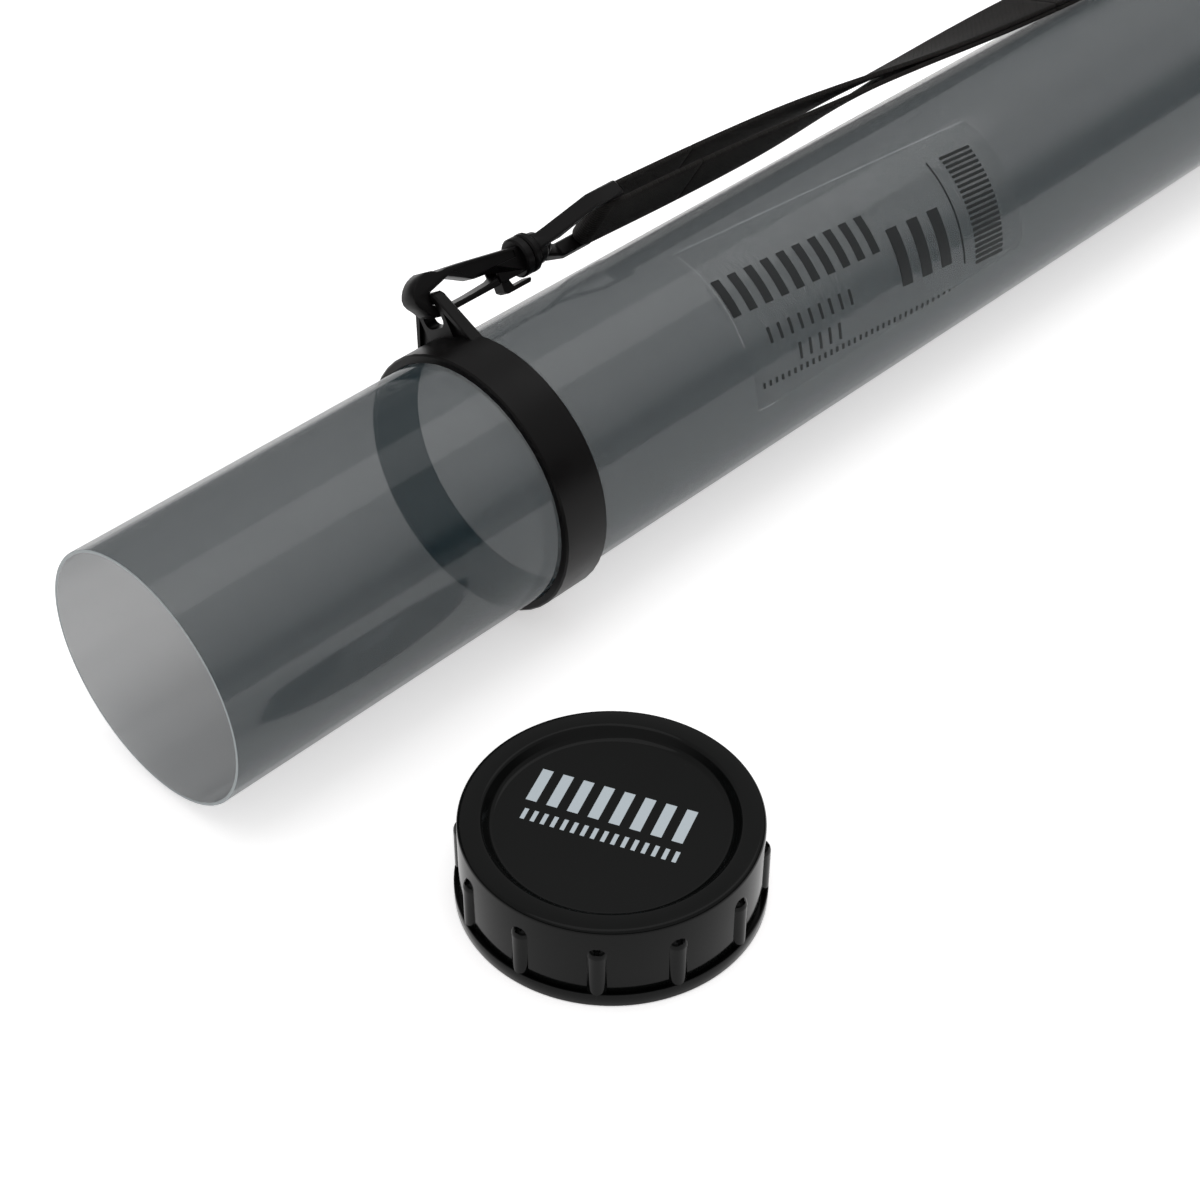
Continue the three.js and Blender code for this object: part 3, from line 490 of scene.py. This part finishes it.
def marks_mask(tree, marks):
    """1 on the marks, which are measured in millimetres on the piece's own UV map, 0 elsewhere."""
    place = add_node(tree, "ShaderNodeUVMap", (-1400, 0), uv_map="print")
    split = add_node(tree, "ShaderNodeSeparateXYZ", (-1200, 0))
    link(place, "UV", split, "Vector")
    mask = None
    for row, mark in enumerate(marks):
        block = add_node(tree, "ShaderNodeGroup", (-900, 300 - 240 * row), node_tree=print_block())
        across, up = ("Y", "X") if mark is STRIPES else ("X", "Y")
        tree.links.new(split.outputs[across], block.inputs["Across"])
        tree.links.new(split.outputs[up], block.inputs["Up"])
        for name, value in zip(MARK_SIZES, mark):
            block.inputs[name].default_value = value
        inside = block.outputs["Inside"]
        mask = inside if mask is None else math_node(tree, (-600, 300 - 240 * row), "MAXIMUM", mask, inside)
    return mask, split


@made_once("materials", "printed gloss black")
def printed_black(name):
    """The caps' gloss black with two rows of plain pale bars."""
    material = gloss_black().copy()
    material.name = name
    tree = material.node_tree
    shader = tree.nodes["Principled BSDF"]
    mask, _ = marks_mask(tree, CAP_MARKS)
    base = shader.inputs["Base Color"].links[0].from_socket
    shade = mixed_colour(tree, (-50, 300), mask, base, tuple(sizes("finishes").cap_print))
    tree.links.new(shade, shader.inputs["Base Color"])
    return material


@made_once("materials", "printed clear film")
def printed_film(name):
    """Clear film with a faint haze, a bright cut edge and plain dark marks."""
    finishes = sizes("finishes")
    material, tree, shader = new_finish(name, Roughness=0.4, Specular_IOR_Level=0.1)
    ink, split = marks_mask(tree, PRINT_MARKS + (STRIPES,))
    framed = []
    for number, (low, high, step) in enumerate(FILM_EDGES):
        above = math_node(tree, (-900, -1500 - 160 * number), "SUBTRACT", split.outputs[step], (low + high) / 2)
        inset = math_node(tree, (-700, -1500 - 160 * number), "SUBTRACT",
                          math_node(tree, (-800, -1400), "ABSOLUTE", above), (high - low) / 2)
        framed.append(inset)
    outside = math_node(tree, (-500, -1500), "MAXIMUM", *framed)
    cut_edge = math_node(tree, (-300, -1500), "LESS_THAN", math_node(tree, (-400, -1500), "ABSOLUTE", outside), 0.16)
    on_film = math_node(tree, (-300, -1700), "LESS_THAN", outside, 0.0)
    speckle = object_noise(tree, (-700, 700), Scale=1500.0, Detail=4.0, Roughness=0.8)
    patch = object_noise(tree, (-700, 950), Scale=45.0, Detail=2.0)
    bubbles = math_node(tree, (-500, 700), "GREATER_THAN", speckle.outputs["Fac"], 0.56)
    patches = math_node(tree, (-500, 950), "GREATER_THAN", patch.outputs["Fac"], 0.50)
    trapped = math_node(tree, (-300, 800), "MULTIPLY", bubbles, patches)
    clouded = math_node(tree, (-200, 800), "MULTIPLY_ADD", trapped, 0.05, 0.06)
    body_haze = math_node(tree, (-150, 700), "MULTIPLY", clouded, on_film)
    haze = math_node(tree, (-100, 800), "MULTIPLY_ADD", cut_edge, 0.22, body_haze)
    inked = math_node(tree, (-300, 100), "MULTIPLY", ink, 0.96)
    cover = math_node(tree, (-100, 200), "MAXIMUM", inked, haze)
    tree.links.new(cover, shader.inputs["Alpha"])
    bright = mixed_colour(tree, (-200, 500), cut_edge, tuple(finishes.film), tuple(finishes.film_edge))
    shade = mixed_colour(tree, (-100, 400), ink, bright, tuple(finishes.ink))
    tree.links.new(shade, shader.inputs["Base Color"])
    material.surface_render_method = "BLENDED"
    return material


def seamless_floor():
    """Pale seamless backdrop with a barely uneven surface."""
    material, tree, shader = new_finish("seamless floor", Roughness=0.9, Specular_IOR_Level=0.1,
                                        Emission_Color=(1.0, 0.985, 0.985, 1.0),
                                        Emission_Strength=sizes("stage").floor_glow)
    base = tuple(sizes("finishes").floor)
    cloud = object_noise(tree, (-400, 0), Scale=3.0, Detail=2.0)
    shade = mixed_colour(tree, (-200, 0), cloud.outputs["Fac"], base, tuple(min(1.0, part * 1.02) for part in base))
    tree.links.new(shade, shader.inputs["Base Color"])
    return material


# Tube and label

class STORAGETUBE_OT_tube(bpy.types.Operator):
    """Make the smoked clear tube with its eased rims"""
    bl_idname = "storage_tube.tube"
    bl_label = "Tube"

    def execute(self, context):
        size = sizes("tube")
        inner = size.radius - size.wall
        profile = [(inner, 0), (size.radius, 0), (size.radius, TUBE_LENGTH), (inner, TUBE_LENGTH)]
        rims = [(radius, height, size.rim_easing, 2)
                for radius in (inner, size.radius) for height in (0, TUBE_LENGTH)]
        mesh = spun(profile, size.sides, rims, closed=True)
        for face in mesh.faces:
            face.material_index = 1 if abs(face.normal.z) > 0.5 else 0
        shade_smooth(mesh, 50)
        mesh.transform(Matrix.Translation(MOUTH) @ Matrix.Rotation(-math.pi / 2, 4, "X"))
        finished("clear_tube", mesh, [smoked_clear(), rim_plastic()], "tube_body", ["tube"])
        return {"FINISHED"}


class STORAGETUBE_OT_label(bpy.types.Operator):
    """Make the clear film label with plain marks"""
    bl_idname = "storage_tube.label"
    bl_label = "Label"

    def execute(self, context):
        size = sizes("label")
        radius = sizes("tube").radius + size.gap
        width = LABEL_HIGH.y - LABEL_LOW.y
        mesh = bmesh.new()
        foot = mesh.verts.new((radius * math.cos(size.low_angle), 0, radius * math.sin(size.low_angle)))
        head = mesh.verts.new(foot.co + Vector((0, width, 0)))
        edge = mesh.edges.new((foot, head))
        bmesh.ops.subdivide_edges(mesh, edges=[edge], cuts=11)
        bmesh.ops.spin(mesh, geom=mesh.verts[:] + mesh.edges[:], cent=(0, 0, 0), axis=(0, -1, 0),
                       angle=size.high_angle - size.low_angle, steps=48)
        bmesh.ops.recalc_face_normals(mesh, faces=mesh.faces)
        outward = sum(face.normal.dot(Vector((face.calc_center_median().x, 0, face.calc_center_median().z)))
                      for face in mesh.faces)
        if outward < 0:
            bmesh.ops.reverse_faces(mesh, faces=mesh.faces)
        layer = mesh.loops.layers.uv.new("print")
        for face in mesh.faces:
            face.smooth = True
            for loop in face.loops:
                point = loop.vert.co
                along, up = point.y * 1000, radius * 1000 * math.atan2(point.z, point.x)
                loop[layer].uv = (along * math.cos(size.tilt) - up * math.sin(size.tilt),
                                  along * math.sin(size.tilt) + up * math.cos(size.tilt))
        mesh.transform(Matrix.Translation((MOUTH.x, LABEL_LOW.y, MOUTH.z)))
        piece = finished("label_film", mesh, [printed_film()], "tube_body", ["label"])
        wall = piece.modifiers.new("film thickness", "SOLIDIFY")
        wall.thickness = size.thickness
        wall.offset = 1.0
        return {"FINISHED"}


# Caps

def cap_shell():
    size = sizes("cap")
    skirt = size.seat_radius + size.skirt_wall
    floor = size.height - size.recess_depth
    lip = size.flange_radius - size.lip_width
    groove = size.flange_height - size.groove_depth
    mouth = size.seat_radius + size.mouth_relief
    rim_under = size.height - size.top_wall
    panel_under = floor - size.panel_wall
    profile = [
        (0, floor), (size.panel_radius, floor), (size.recess_radius, size.height), (skirt, size.height),
        (skirt, groove), (lip, groove), (lip, size.flange_height), (size.flange_radius, size.flange_height),
        (size.flange_radius, 0), (mouth, 0), (size.seat_radius, size.mouth_depth), (size.seat_radius, rim_under),
        (size.recess_radius + size.panel_wall, rim_under), (size.panel_radius + size.panel_wall, panel_under),
        (0, panel_under),
    ]
    # Radius and height of a corner, width of its rounding and number of faces across it
    softened = [
        (size.panel_radius, floor, 0.0011, 4), (size.recess_radius, size.height, 0.0007, 4),
        (skirt, size.height, 0.0012, 5), (size.flange_radius, size.flange_height, 0.0002, 2),
        (size.flange_radius, 0, 0.0003, 2), (lip, size.flange_height, 0.00015, 2),
    ]
    return spun(profile, 160, softened)


def add_ribs(mesh):
    """Half-round grip ribs with domed tops, each with a small dark pit."""
    size = sizes("cap")
    centre = size.flange_radius - size.rib_radius
    for number in range(size.rib_count):
        rib = bmesh.new()
        bmesh.ops.create_uvsphere(rib, u_segments=24, v_segments=12, radius=size.rib_radius)
        bmesh.ops.bisect_plane(rib, geom=rib.verts[:] + rib.edges[:] + rib.faces[:], plane_co=(0, 0, 0),
                               plane_no=(0, 0, 1), clear_inner=True)
        rim = [edge for edge in rib.edges if edge.is_boundary]
        column = bmesh.ops.extrude_edge_only(rib, edges=rim)["geom"]
        ends = [part for part in column if isinstance(part, bmesh.types.BMVert)]
        bmesh.ops.translate(rib, verts=ends, vec=(0, 0, size.groove_depth * 1.5 - size.rib_top + size.rib_radius))
        bmesh.ops.bisect_plane(rib, geom=rib.verts[:] + rib.edges[:] + rib.faces[:], plane_co=(size.rib_depth, 0, 0),
                               plane_no=(1, 0, 0), clear_inner=True)
        bmesh.ops.holes_fill(rib, edges=[edge for edge in rib.edges if edge.is_boundary], sides=0)
        dome = Vector((0.66, 0, 0.75)) * size.rib_radius
        pit = [face for face in rib.faces if (face.calc_center_median() - dome).length < size.pit_radius]
        bmesh.ops.inset_region(rib, faces=pit, thickness=0.00012, depth=-size.pit_depth, use_even_offset=True)
        for face in rib.faces:
            face.smooth = True
        for face in pit:
            face.material_index = 1
        bmesh.ops.translate(rib, verts=rib.verts, vec=(centre, 0, size.rib_top - size.rib_radius))
        bmesh.ops.rotate(rib, verts=rib.verts, cent=(0, 0, 0),
                         matrix=Matrix.Rotation(size.rib_phase + math.tau * number / size.rib_count, 3, "Z"))
        spare = bpy.data.meshes.new("rib")
        rib.to_mesh(spare)
        rib.free()
        mesh.from_mesh(spare)
        bpy.data.meshes.remove(spare)


def make_cap(name, body, node, place):
    size = sizes("cap")
    mesh = cap_shell()
    layer = mesh.loops.layers.uv.new("print")
    turned = Matrix.Rotation(-size.print_turn, 3, "Z") * 1000
    for face in mesh.faces:
        middle = face.calc_center_median()
        if middle.z > size.height - size.recess_depth - 1e-5 and middle.to_2d().length < size.panel_radius:
            face.material_index = 2
        for loop in face.loops:
            loop[layer].uv = (turned @ loop.vert.co).to_2d()
    add_ribs(mesh)
    shade_smooth(mesh, 38)
    mesh.transform(place)
    dark = moulded_plastic("pit shadow", (0.001, 0.001, 0.001), 0.6, 0.05, 0.02, 700.0, 0.05)
    return finished(name, mesh, [gloss_black(), dark, printed_black()], body, [node])


class STORAGETUBE_OT_caps(bpy.types.Operator):
    """Make the two push-on caps: one beside the mouth and one pushed home"""
    bl_idname = "storage_tube.caps"
    bl_label = "Caps"

    def execute(self, context):
        loose = Vector(((LOOSE_LOW.x + LOOSE_HIGH.x) / 2, (LOOSE_LOW.y + LOOSE_HIGH.y) / 2, LOOSE_LOW.z))
        make_cap("near_cap_shell", "tube_body", "near_cap", Matrix.Translation(loose))
        seat = Vector((MOUTH.x, FAR_CAP_LOW.y, MOUTH.z))
        make_cap("far_cap_shell", "far_cap_body", "far_cap",
                 Matrix.Translation(seat) @ Matrix.Rotation(-math.pi / 2, 4, "X"))
        return {"FINISHED"}


# Collars, hooks and slide

class STORAGETUBE_OT_collars(bpy.types.Operator):
    """Dress the two lugged collars"""
    bl_idname = "storage_tube.collars"
    bl_label = "Collars"

    def execute(self, context):
        for end in ("near", "far"):
            dressed(f"{end}_collar", f"{end}_collar_moulding", "tube_body", satin_black(), 0.0002)
        return {"FINISHED"}


def fill_out_hook(mesh):
    """Gives the hook the full bow and deep shank of the real one, as far as the open gate leaves room."""
    size, strap = sizes("hook"), sizes("strap")
    outward = Vector((math.cos(strap.lug_angle), 0, math.sin(strap.lug_angle)))
    far = sum(corner.co.y for corner in mesh.verts) / len(mesh.verts) > MOUTH.y + TUBE_LENGTH / 2
    way = -1 if far else 1
    bow = MOUTH + Vector((0, TUBE_LENGTH - size.bow_place if far else size.bow_place, 0)) + outward * size.bow_radius
    bow_fade = 0.005
    # How far past each size a corner of the eased solid still belongs to it
    past_slot, past_end, before_knee, past_cheek, off_under = 0.0005, 0.0002, 0.0006, 0.0004, 0.0011
    for corner in mesh.verts:
        offset = corner.co - bow
        along, height = offset.y * way, offset.dot(outward)
        reach = math.hypot(along, height)
        if along < bow_fade and reach > size.slot + past_slot:
            swell = smoothstep(reach, size.slot, size.bow) * smoothstep(height, -0.002, 0.002)
            radial = (Vector((0, along * way, 0)) + outward * height) / reach
            corner.co += radial * (size.bow_growth * swell * (1 - smoothstep(along, 0, bow_fade)))
        down = max(0.0, (along - size.knee) / (size.end - size.knee))
        top = blend(size.knee_top, size.shank_top, down)
        under = blend(size.knee_under, size.end_under, down)
        if 0 <= along < size.end + past_end and height > (top + under) / 2:
            arch = smoothstep(along, -0.002, 0.012) * (1 - smoothstep(along, 0.020, size.end))
            corner.co += outward * (size.rise * arch)
        elif size.knee - before_knee < along < size.cheek + past_cheek and abs(height - under) < off_under:
            corner.co -= outward * blend(size.knee_drop, size.cheek_drop, smoothstep(along, size.knee, size.cheek))


class STORAGETUBE_OT_hooks(bpy.types.Operator):
    """Dress the snap hooks, their gates and their swivel loops"""
    bl_idname = "storage_tube.hooks"
    bl_label = "Hooks"

    def execute(self, context):
        parts = (("hook", "hook_body", "hook_body", fill_out_hook), ("hook_gate", "hook_gate_bar", "gate_body", None),
                 ("hook_loop", "swivel_loop", "loop_body", None))
        for end in ("near", "far"):
            for node, part, body, shape in parts:
                dressed(f"{end}_{node}", f"{end}_{part}", f"{end}_{body}", satin_black(), 0.00012,
                        shape=shape)
        return {"FINISHED"}


class STORAGETUBE_OT_slide(bpy.types.Operator):
    """Dress the strap slide"""
    bl_idname = "storage_tube.slide"
    bl_label = "Slide"

    def execute(self, context):
        dressed("strap_slide", "slide_frame", "slide_body", satin_black(), 0.00015)
        return {"FINISHED"}


# Strap

def smoothstep(value, low, high):
    part = min(max((value - low) / (high - low), 0.0), 1.0)
    return part * part * (3 - 2 * part)


def smootherstep(value, low, high):
    part = min(max((value - low) / (high - low), 0.0), 1.0)
    return part ** 3 * (part * (part * 6 - 15) + 10)


def blend(first, second, part):
    return first + (second - first) * part


def strap_frame(along):
    """The webbing's middle, width direction and facing direction at a distance along the tube."""
    size = sizes("strap")
    from_bar = min(along, TUBE_LENGTH - along) - size.crossbar
    angle = blend(size.loop_turn, size.rest_turn, smootherstep(from_bar, 0.006, 0.241))
    swivel = Vector((math.cos(size.lug_angle), 0, math.sin(size.lug_angle))) * size.swivel_radius
    rest = Vector((-0.0206, 0, 0.0346))
    centre = swivel.lerp(rest, min(max(from_bar / 0.215, 0.0), 1.0))
    return centre, Vector((math.cos(angle), 0, math.sin(angle))), Vector((math.sin(angle), 0, -math.cos(angle)))


def strap_point(along, offset, across):
    centre, width, facing = strap_frame(along)
    return MOUTH + Vector((0, along, 0)) + centre + facing * offset + width * across


def span(start, end, step, offset_at):
    count = max(1, round(abs(end - start) / step))
    stations = [blend(start, end, number / count) for number in range(count + 1)]
    return [(along, offset_at(along)) for along in stations]


def bar_turn(along, radius, first, last, steps):
    angles = [math.radians(blend(first, last, number / steps)) for number in range(steps + 1)]
    return [(along + radius * math.cos(angle), radius * math.sin(angle)) for angle in angles]


def rounded(route, rounds=2):
    """The route with its corners cut round by round."""
    for _ in range(rounds):
        eased = [route[0]]
        for (y1, o1), (y2, o2) in zip(route, route[1:]):
            eased.append((blend(y1, y2, 0.25), blend(o1, o2, 0.25)))
            eased.append((blend(y1, y2, 0.75), blend(o1, o2, 0.75)))
        eased.append(route[-1])
        route = eased
    return route


def webbing(routes):
    """Strips of webbing along routes of (distance along the tube, offset), with a UV map in metres."""
    size = sizes("strap")
    mesh = bmesh.new()
    layer = mesh.loops.layers.uv.new("weave")
    across_count = 8
    for route in routes:
        grid = bmesh.ops.create_grid(mesh, x_segments=len(route) - 1, y_segments=across_count, size=0.5)
        corners = grid["verts"]
        lengths = [0.0]
        for (y1, o1), (y2, o2) in zip(route, route[1:]):
            lengths.append(lengths[-1] + math.hypot(y2 - y1, o2 - o1))
        flat = {}
        for corner in corners:
            station = round((corner.co.x + 0.5) * (len(route) - 1))
            across = corner.co.y * size.width
            flat[corner] = (route[0][0] + lengths[station], across)
            along, offset = route[station]
            corner.co = strap_point(along, offset, across)
        for face in {face for corner in corners for face in corner.link_faces}:
            face.smooth = True
            for loop in face.loops:
                loop[layer].uv = flat[loop.vert]
    return mesh


def make_webbing(name, routes, body=None, crossing=None):
    """Strips of webbing that ride on a body, or, when a crossing is given, ride on no body and have their transform
    baked in.
    """
    size = sizes("strap")
    piece = finished(name, webbing(routes), [black_webbing()], body, ["strap"])
    wall = piece.modifiers.new("webbing thickness", "SOLIDIFY")
    wall.thickness = size.thickness
    wall.offset = 0.0
    wall.use_even_offset = True
    edge = piece.modifiers.new("selvedge", "BEVEL")
    edge.width = 0.0004
    edge.segments = 2
    edge.limit_method = "ANGLE"
    edge.angle_limit = math.radians(60)
    if crossing:
        first, second, start, end = crossing
        strap_point(start, 0, 0)
        strap_point(end, 0, 0)
        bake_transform(piece)
    return piece


class STORAGETUBE_OT_strap(bpy.types.Operator):
    """Make the webbing strap: two layers from the near hook to the slide, one from there to the far hook"""
    bl_idname = "storage_tube.strap"
    bl_label = "Strap"

    def execute(self, context):
        size = sizes("strap")
        bar_offset = size.bar_height / 2 + PLAY + size.thickness / 2
        lie_offset = (size.thickness + size.layer_gap) / 2
        sewn_offset = size.sewn_spacing / 2
        lift = size.slide_lift
        slide = size.slide_place
        far_bar = TUBE_LENGTH - size.crossbar
        inner = size.slide_bar / 2 + PLAY + size.thickness / 2
        outer = inner + size.thickness + size.layer_gap
        slide_centre = -lie_offset - size.thickness / 2 - PLAY - size.slide_height / 2
        fixed_top = slide_centre - size.slide_height / 2 - lift - PLAY - size.thickness / 2
        running_top = fixed_top - size.thickness - size.layer_gap

        def rise(along):
            near = smoothstep(along, slide - 0.062, slide - 0.040)
            far = 1 - smoothstep(along, slide + 0.020, slide + 0.045)
            return lift * min(near, far)

        def layer_offset(along):
            return blend(bar_offset, lie_offset, smoothstep(along - size.crossbar, 0.065, 0.150))

        def upper(along):
            return -layer_offset(along) - rise(along)

        def lower(along):
            return layer_offset(along) - rise(along)

        def running(along):
            resting = blend(-lie_offset - rise(along), lie_offset, smoothstep(along, slide + 0.015, slide + 0.055))
            sewn = blend(resting, -sewn_offset, smoothstep(along, far_bar - 0.090, far_bar - 0.045))
            return blend(sewn, -bar_offset, smoothstep(along, far_bar - 0.016, far_bar - 0.003))

        def tail(along):
            return blend(sewn_offset, bar_offset, smoothstep(along, far_bar - 0.016, far_bar - 0.003))

        step = 0.003
        near_cut = size.crossbar + 0.036
        run_cut = size.crossbar + 0.200
        slide_start, slide_end = slide - 0.030, slide + 0.027
        far_run_cut, far_cut = far_bar - 0.200, far_bar - 0.044

        near_end = (span(near_cut, size.crossbar + 0.001, step, lower)
                    + bar_turn(size.crossbar, bar_offset, 75, 285, 24)
                    + span(size.crossbar + 0.001, near_cut, step, upper))
        make_webbing("strap_near_end", [near_end], None,
                     ("near_loop_body", "near_hook_body", size.crossbar + 0.004, size.crossbar + 0.034))
        make_webbing("strap_near_run", [span(near_cut, run_cut, step, lower), span(near_cut, run_cut, step, upper)],
                     None, ("near_hook_body", "tube_body", near_cut + 0.004, run_cut - 0.020))
        make_webbing("strap_near_middle",
                     [span(run_cut, slide_start, step, lower), span(run_cut, slide_start, step, upper)],
                     None, ("tube_body", "slide_body", run_cut + 0.004, slide_start - 0.002))

        fixed = rounded([
            (slide_start, lower(slide_start)), (slide - inner - 0.0009, lie_offset - lift),
            (slide - inner, lie_offset - lift - 0.0009), (slide - inner, fixed_top + 0.0009),
            (slide - inner + 0.0007, fixed_top), (slide + inner - 0.0007, fixed_top),
            (slide + inner, fixed_top + 0.0009), (slide + inner, lie_offset - lift - 0.0014),
            (slide + inner, lie_offset + 0.0003 - lift), (slide + inner - 0.0008, lie_offset + 0.0011 - lift),
            (slide_start + 0.006, lie_offset + 0.0013 - lift),
        ])
        threaded = rounded([
            (slide_start, upper(slide_start)), (slide - outer - 0.0009, -lie_offset - lift),
            (slide - outer, -lie_offset - lift - 0.0009), (slide - outer, running_top + 0.0009),
            (slide - outer + 0.0009, running_top), (slide + outer - 0.0009, running_top),
            (slide + outer, running_top + 0.0009), (slide + outer, -lie_offset - lift - 0.0009),
            (slide + outer + 0.0009, -lie_offset - lift), (slide_end, running(slide_end)),
        ])
        make_webbing("strap_at_slide", [fixed, threaded], "slide_body")
        make_webbing("strap_far_middle", [span(slide_end, far_run_cut, step, running)], None,
                     ("slide_body", "tube_body", slide_end + 0.002, far_run_cut - 0.004))
        make_webbing("strap_far_run", [span(far_run_cut, far_cut, step, running)], None,
                     ("tube_body", "far_hook_body", far_run_cut + 0.020, far_cut - 0.004))
        far_end = (span(far_cut, far_bar - 0.001, step, running) + bar_turn(far_bar, bar_offset, -75, 75, 20)
                   + span(far_bar - 0.0005, far_bar - 0.040, step, tail))
        make_webbing("strap_far_end", [far_end], None,
                     ("far_hook_body", "far_loop_body", far_bar - 0.034, far_bar - 0.004))
        return {"FINISHED"}


# Stage

class STORAGETUBE_OT_stage(bpy.types.Operator):
    """Set the pale floor, the soft lights and the camera"""
    bl_idname = "storage_tube.stage"
    bl_label = "Stage"

    def execute(self, context):
        size = sizes("stage")
        mesh = bmesh.new()
        bmesh.ops.create_grid(mesh, x_segments=8, y_segments=8, size=60.0)
        data = bpy.data.meshes.new("floor")
        mesh.to_mesh(data)
        mesh.free()
        floor = bpy.data.objects.new("floor", data)
        floor.location.z = -0.0002
        data.materials.append(seamless_floor())
        context.scene.collection.objects.link(floor)

        softbox("overhead softbox", (-0.05, -0.15, 1.60), (-0.05, -0.15, 0.0), (0.9, 2.5), size.key_power)

        world = bpy.data.worlds.new("even light")
        world.use_nodes = True
        tree = world.node_tree
        background = tree.nodes["Background"]
        background.inputs["Strength"].default_value = size.sky
        place = add_node(tree, "ShaderNodeTexCoord", (-800, 0))
        split = add_node(tree, "ShaderNodeSeparateXYZ", (-600, 0))
        link(place, "Generated", split, "Vector")
        ramp = add_node(tree, "ShaderNodeValToRGB", (-400, 0))
        low, high = ramp.color_ramp.elements
        low.position, high.position = size.horizon - 0.09, size.horizon + 0.09
        low.color = (size.dusk, size.dusk, size.dusk, 1.0)
        high.color = (1.0, 1.0, 1.0, 1.0)
        link(split, "Z", ramp, "Fac")
        link(ramp, "Color", background, "Color")
        context.scene.world = world
        context.scene.view_settings.view_transform = "Standard"

        data = bpy.data.cameras.new("camera")
        data.sensor_width = 36.0
        data.lens = size.lens
        data.clip_start = 0.01
        camera = bpy.data.objects.new("camera", data)
        right = Vector(CAMERA_RIGHT).normalized()
        back = right.cross(Vector(CAMERA_UP)).normalized()
        turn = Matrix((right, back.cross(right), back)).transposed()
        camera.matrix_world = Matrix.Translation(CAMERA_PLACE) @ turn.to_4x4()
        context.scene.collection.objects.link(camera)
        context.scene.camera = camera
        return {"FINISHED"}


def softbox(name, place, aim, span_of, power):
    data = bpy.data.lights.new(name, "AREA")
    data.shape = "RECTANGLE"
    data.size, data.size_y = span_of
    data.energy = power
    lamp = bpy.data.objects.new(name, data)
    lamp.location = place
    lamp.rotation_euler = (Vector(aim) - Vector(place)).to_track_quat("-Z", "Y").to_euler()
    bpy.context.scene.collection.objects.link(lamp)
    return lamp


GROUPS = (("tube", TubeSizes), ("cap", CapSizes), ("strap", StrapSizes), ("hook", HookSizes), ("label", LabelSizes),
          ("finishes", Finishes), ("stage", StageSizes))
OPERATORS = (STORAGETUBE_OT_tube, STORAGETUBE_OT_label, STORAGETUBE_OT_caps, STORAGETUBE_OT_collars,
             STORAGETUBE_OT_hooks, STORAGETUBE_OT_slide, STORAGETUBE_OT_strap, STORAGETUBE_OT_stage)


class STORAGETUBE_PT_panel(bpy.types.Panel):
    """Sizes, colours and makers of the storage tube"""
    bl_idname = "STORAGETUBE_PT_panel"
    bl_label = "Storage tube"
    bl_space_type = "VIEW_3D"
    bl_region_type = "UI"
    bl_category = "Storage tube"

    def draw(self, context):
        for name, group in GROUPS:
            box = self.layout.box()
            box.label(text=name.capitalize())
            for value in group.__annotations__:
                box.prop(sizes(name), value)
        for operator in OPERATORS:
            self.layout.operator(operator.bl_idname)


def register():
    for name, group in GROUPS:
        bpy.utils.register_class(group)
        setattr(bpy.types.Scene, "storage_tube_" + name, PointerProperty(type=group))
    for operator in OPERATORS:
        bpy.utils.register_class(operator)
    bpy.utils.register_class(STORAGETUBE_PT_panel)


def unregister():
    bpy.utils.unregister_class(STORAGETUBE_PT_panel)
    for operator in reversed(OPERATORS):
        bpy.utils.unregister_class(operator)
    for name, group in reversed(GROUPS):
        delattr(bpy.types.Scene, "storage_tube_" + name)
        bpy.utils.unregister_class(group)


def main():
    register()
    bpy.ops.storage_tube.tube()
    bpy.ops.storage_tube.label()
    bpy.ops.storage_tube.caps()
    bpy.ops.storage_tube.collars()
    bpy.ops.storage_tube.hooks()
    bpy.ops.storage_tube.slide()
    bpy.ops.storage_tube.strap()
    bpy.ops.storage_tube.stage()


if __name__ == "__main__":
    main()
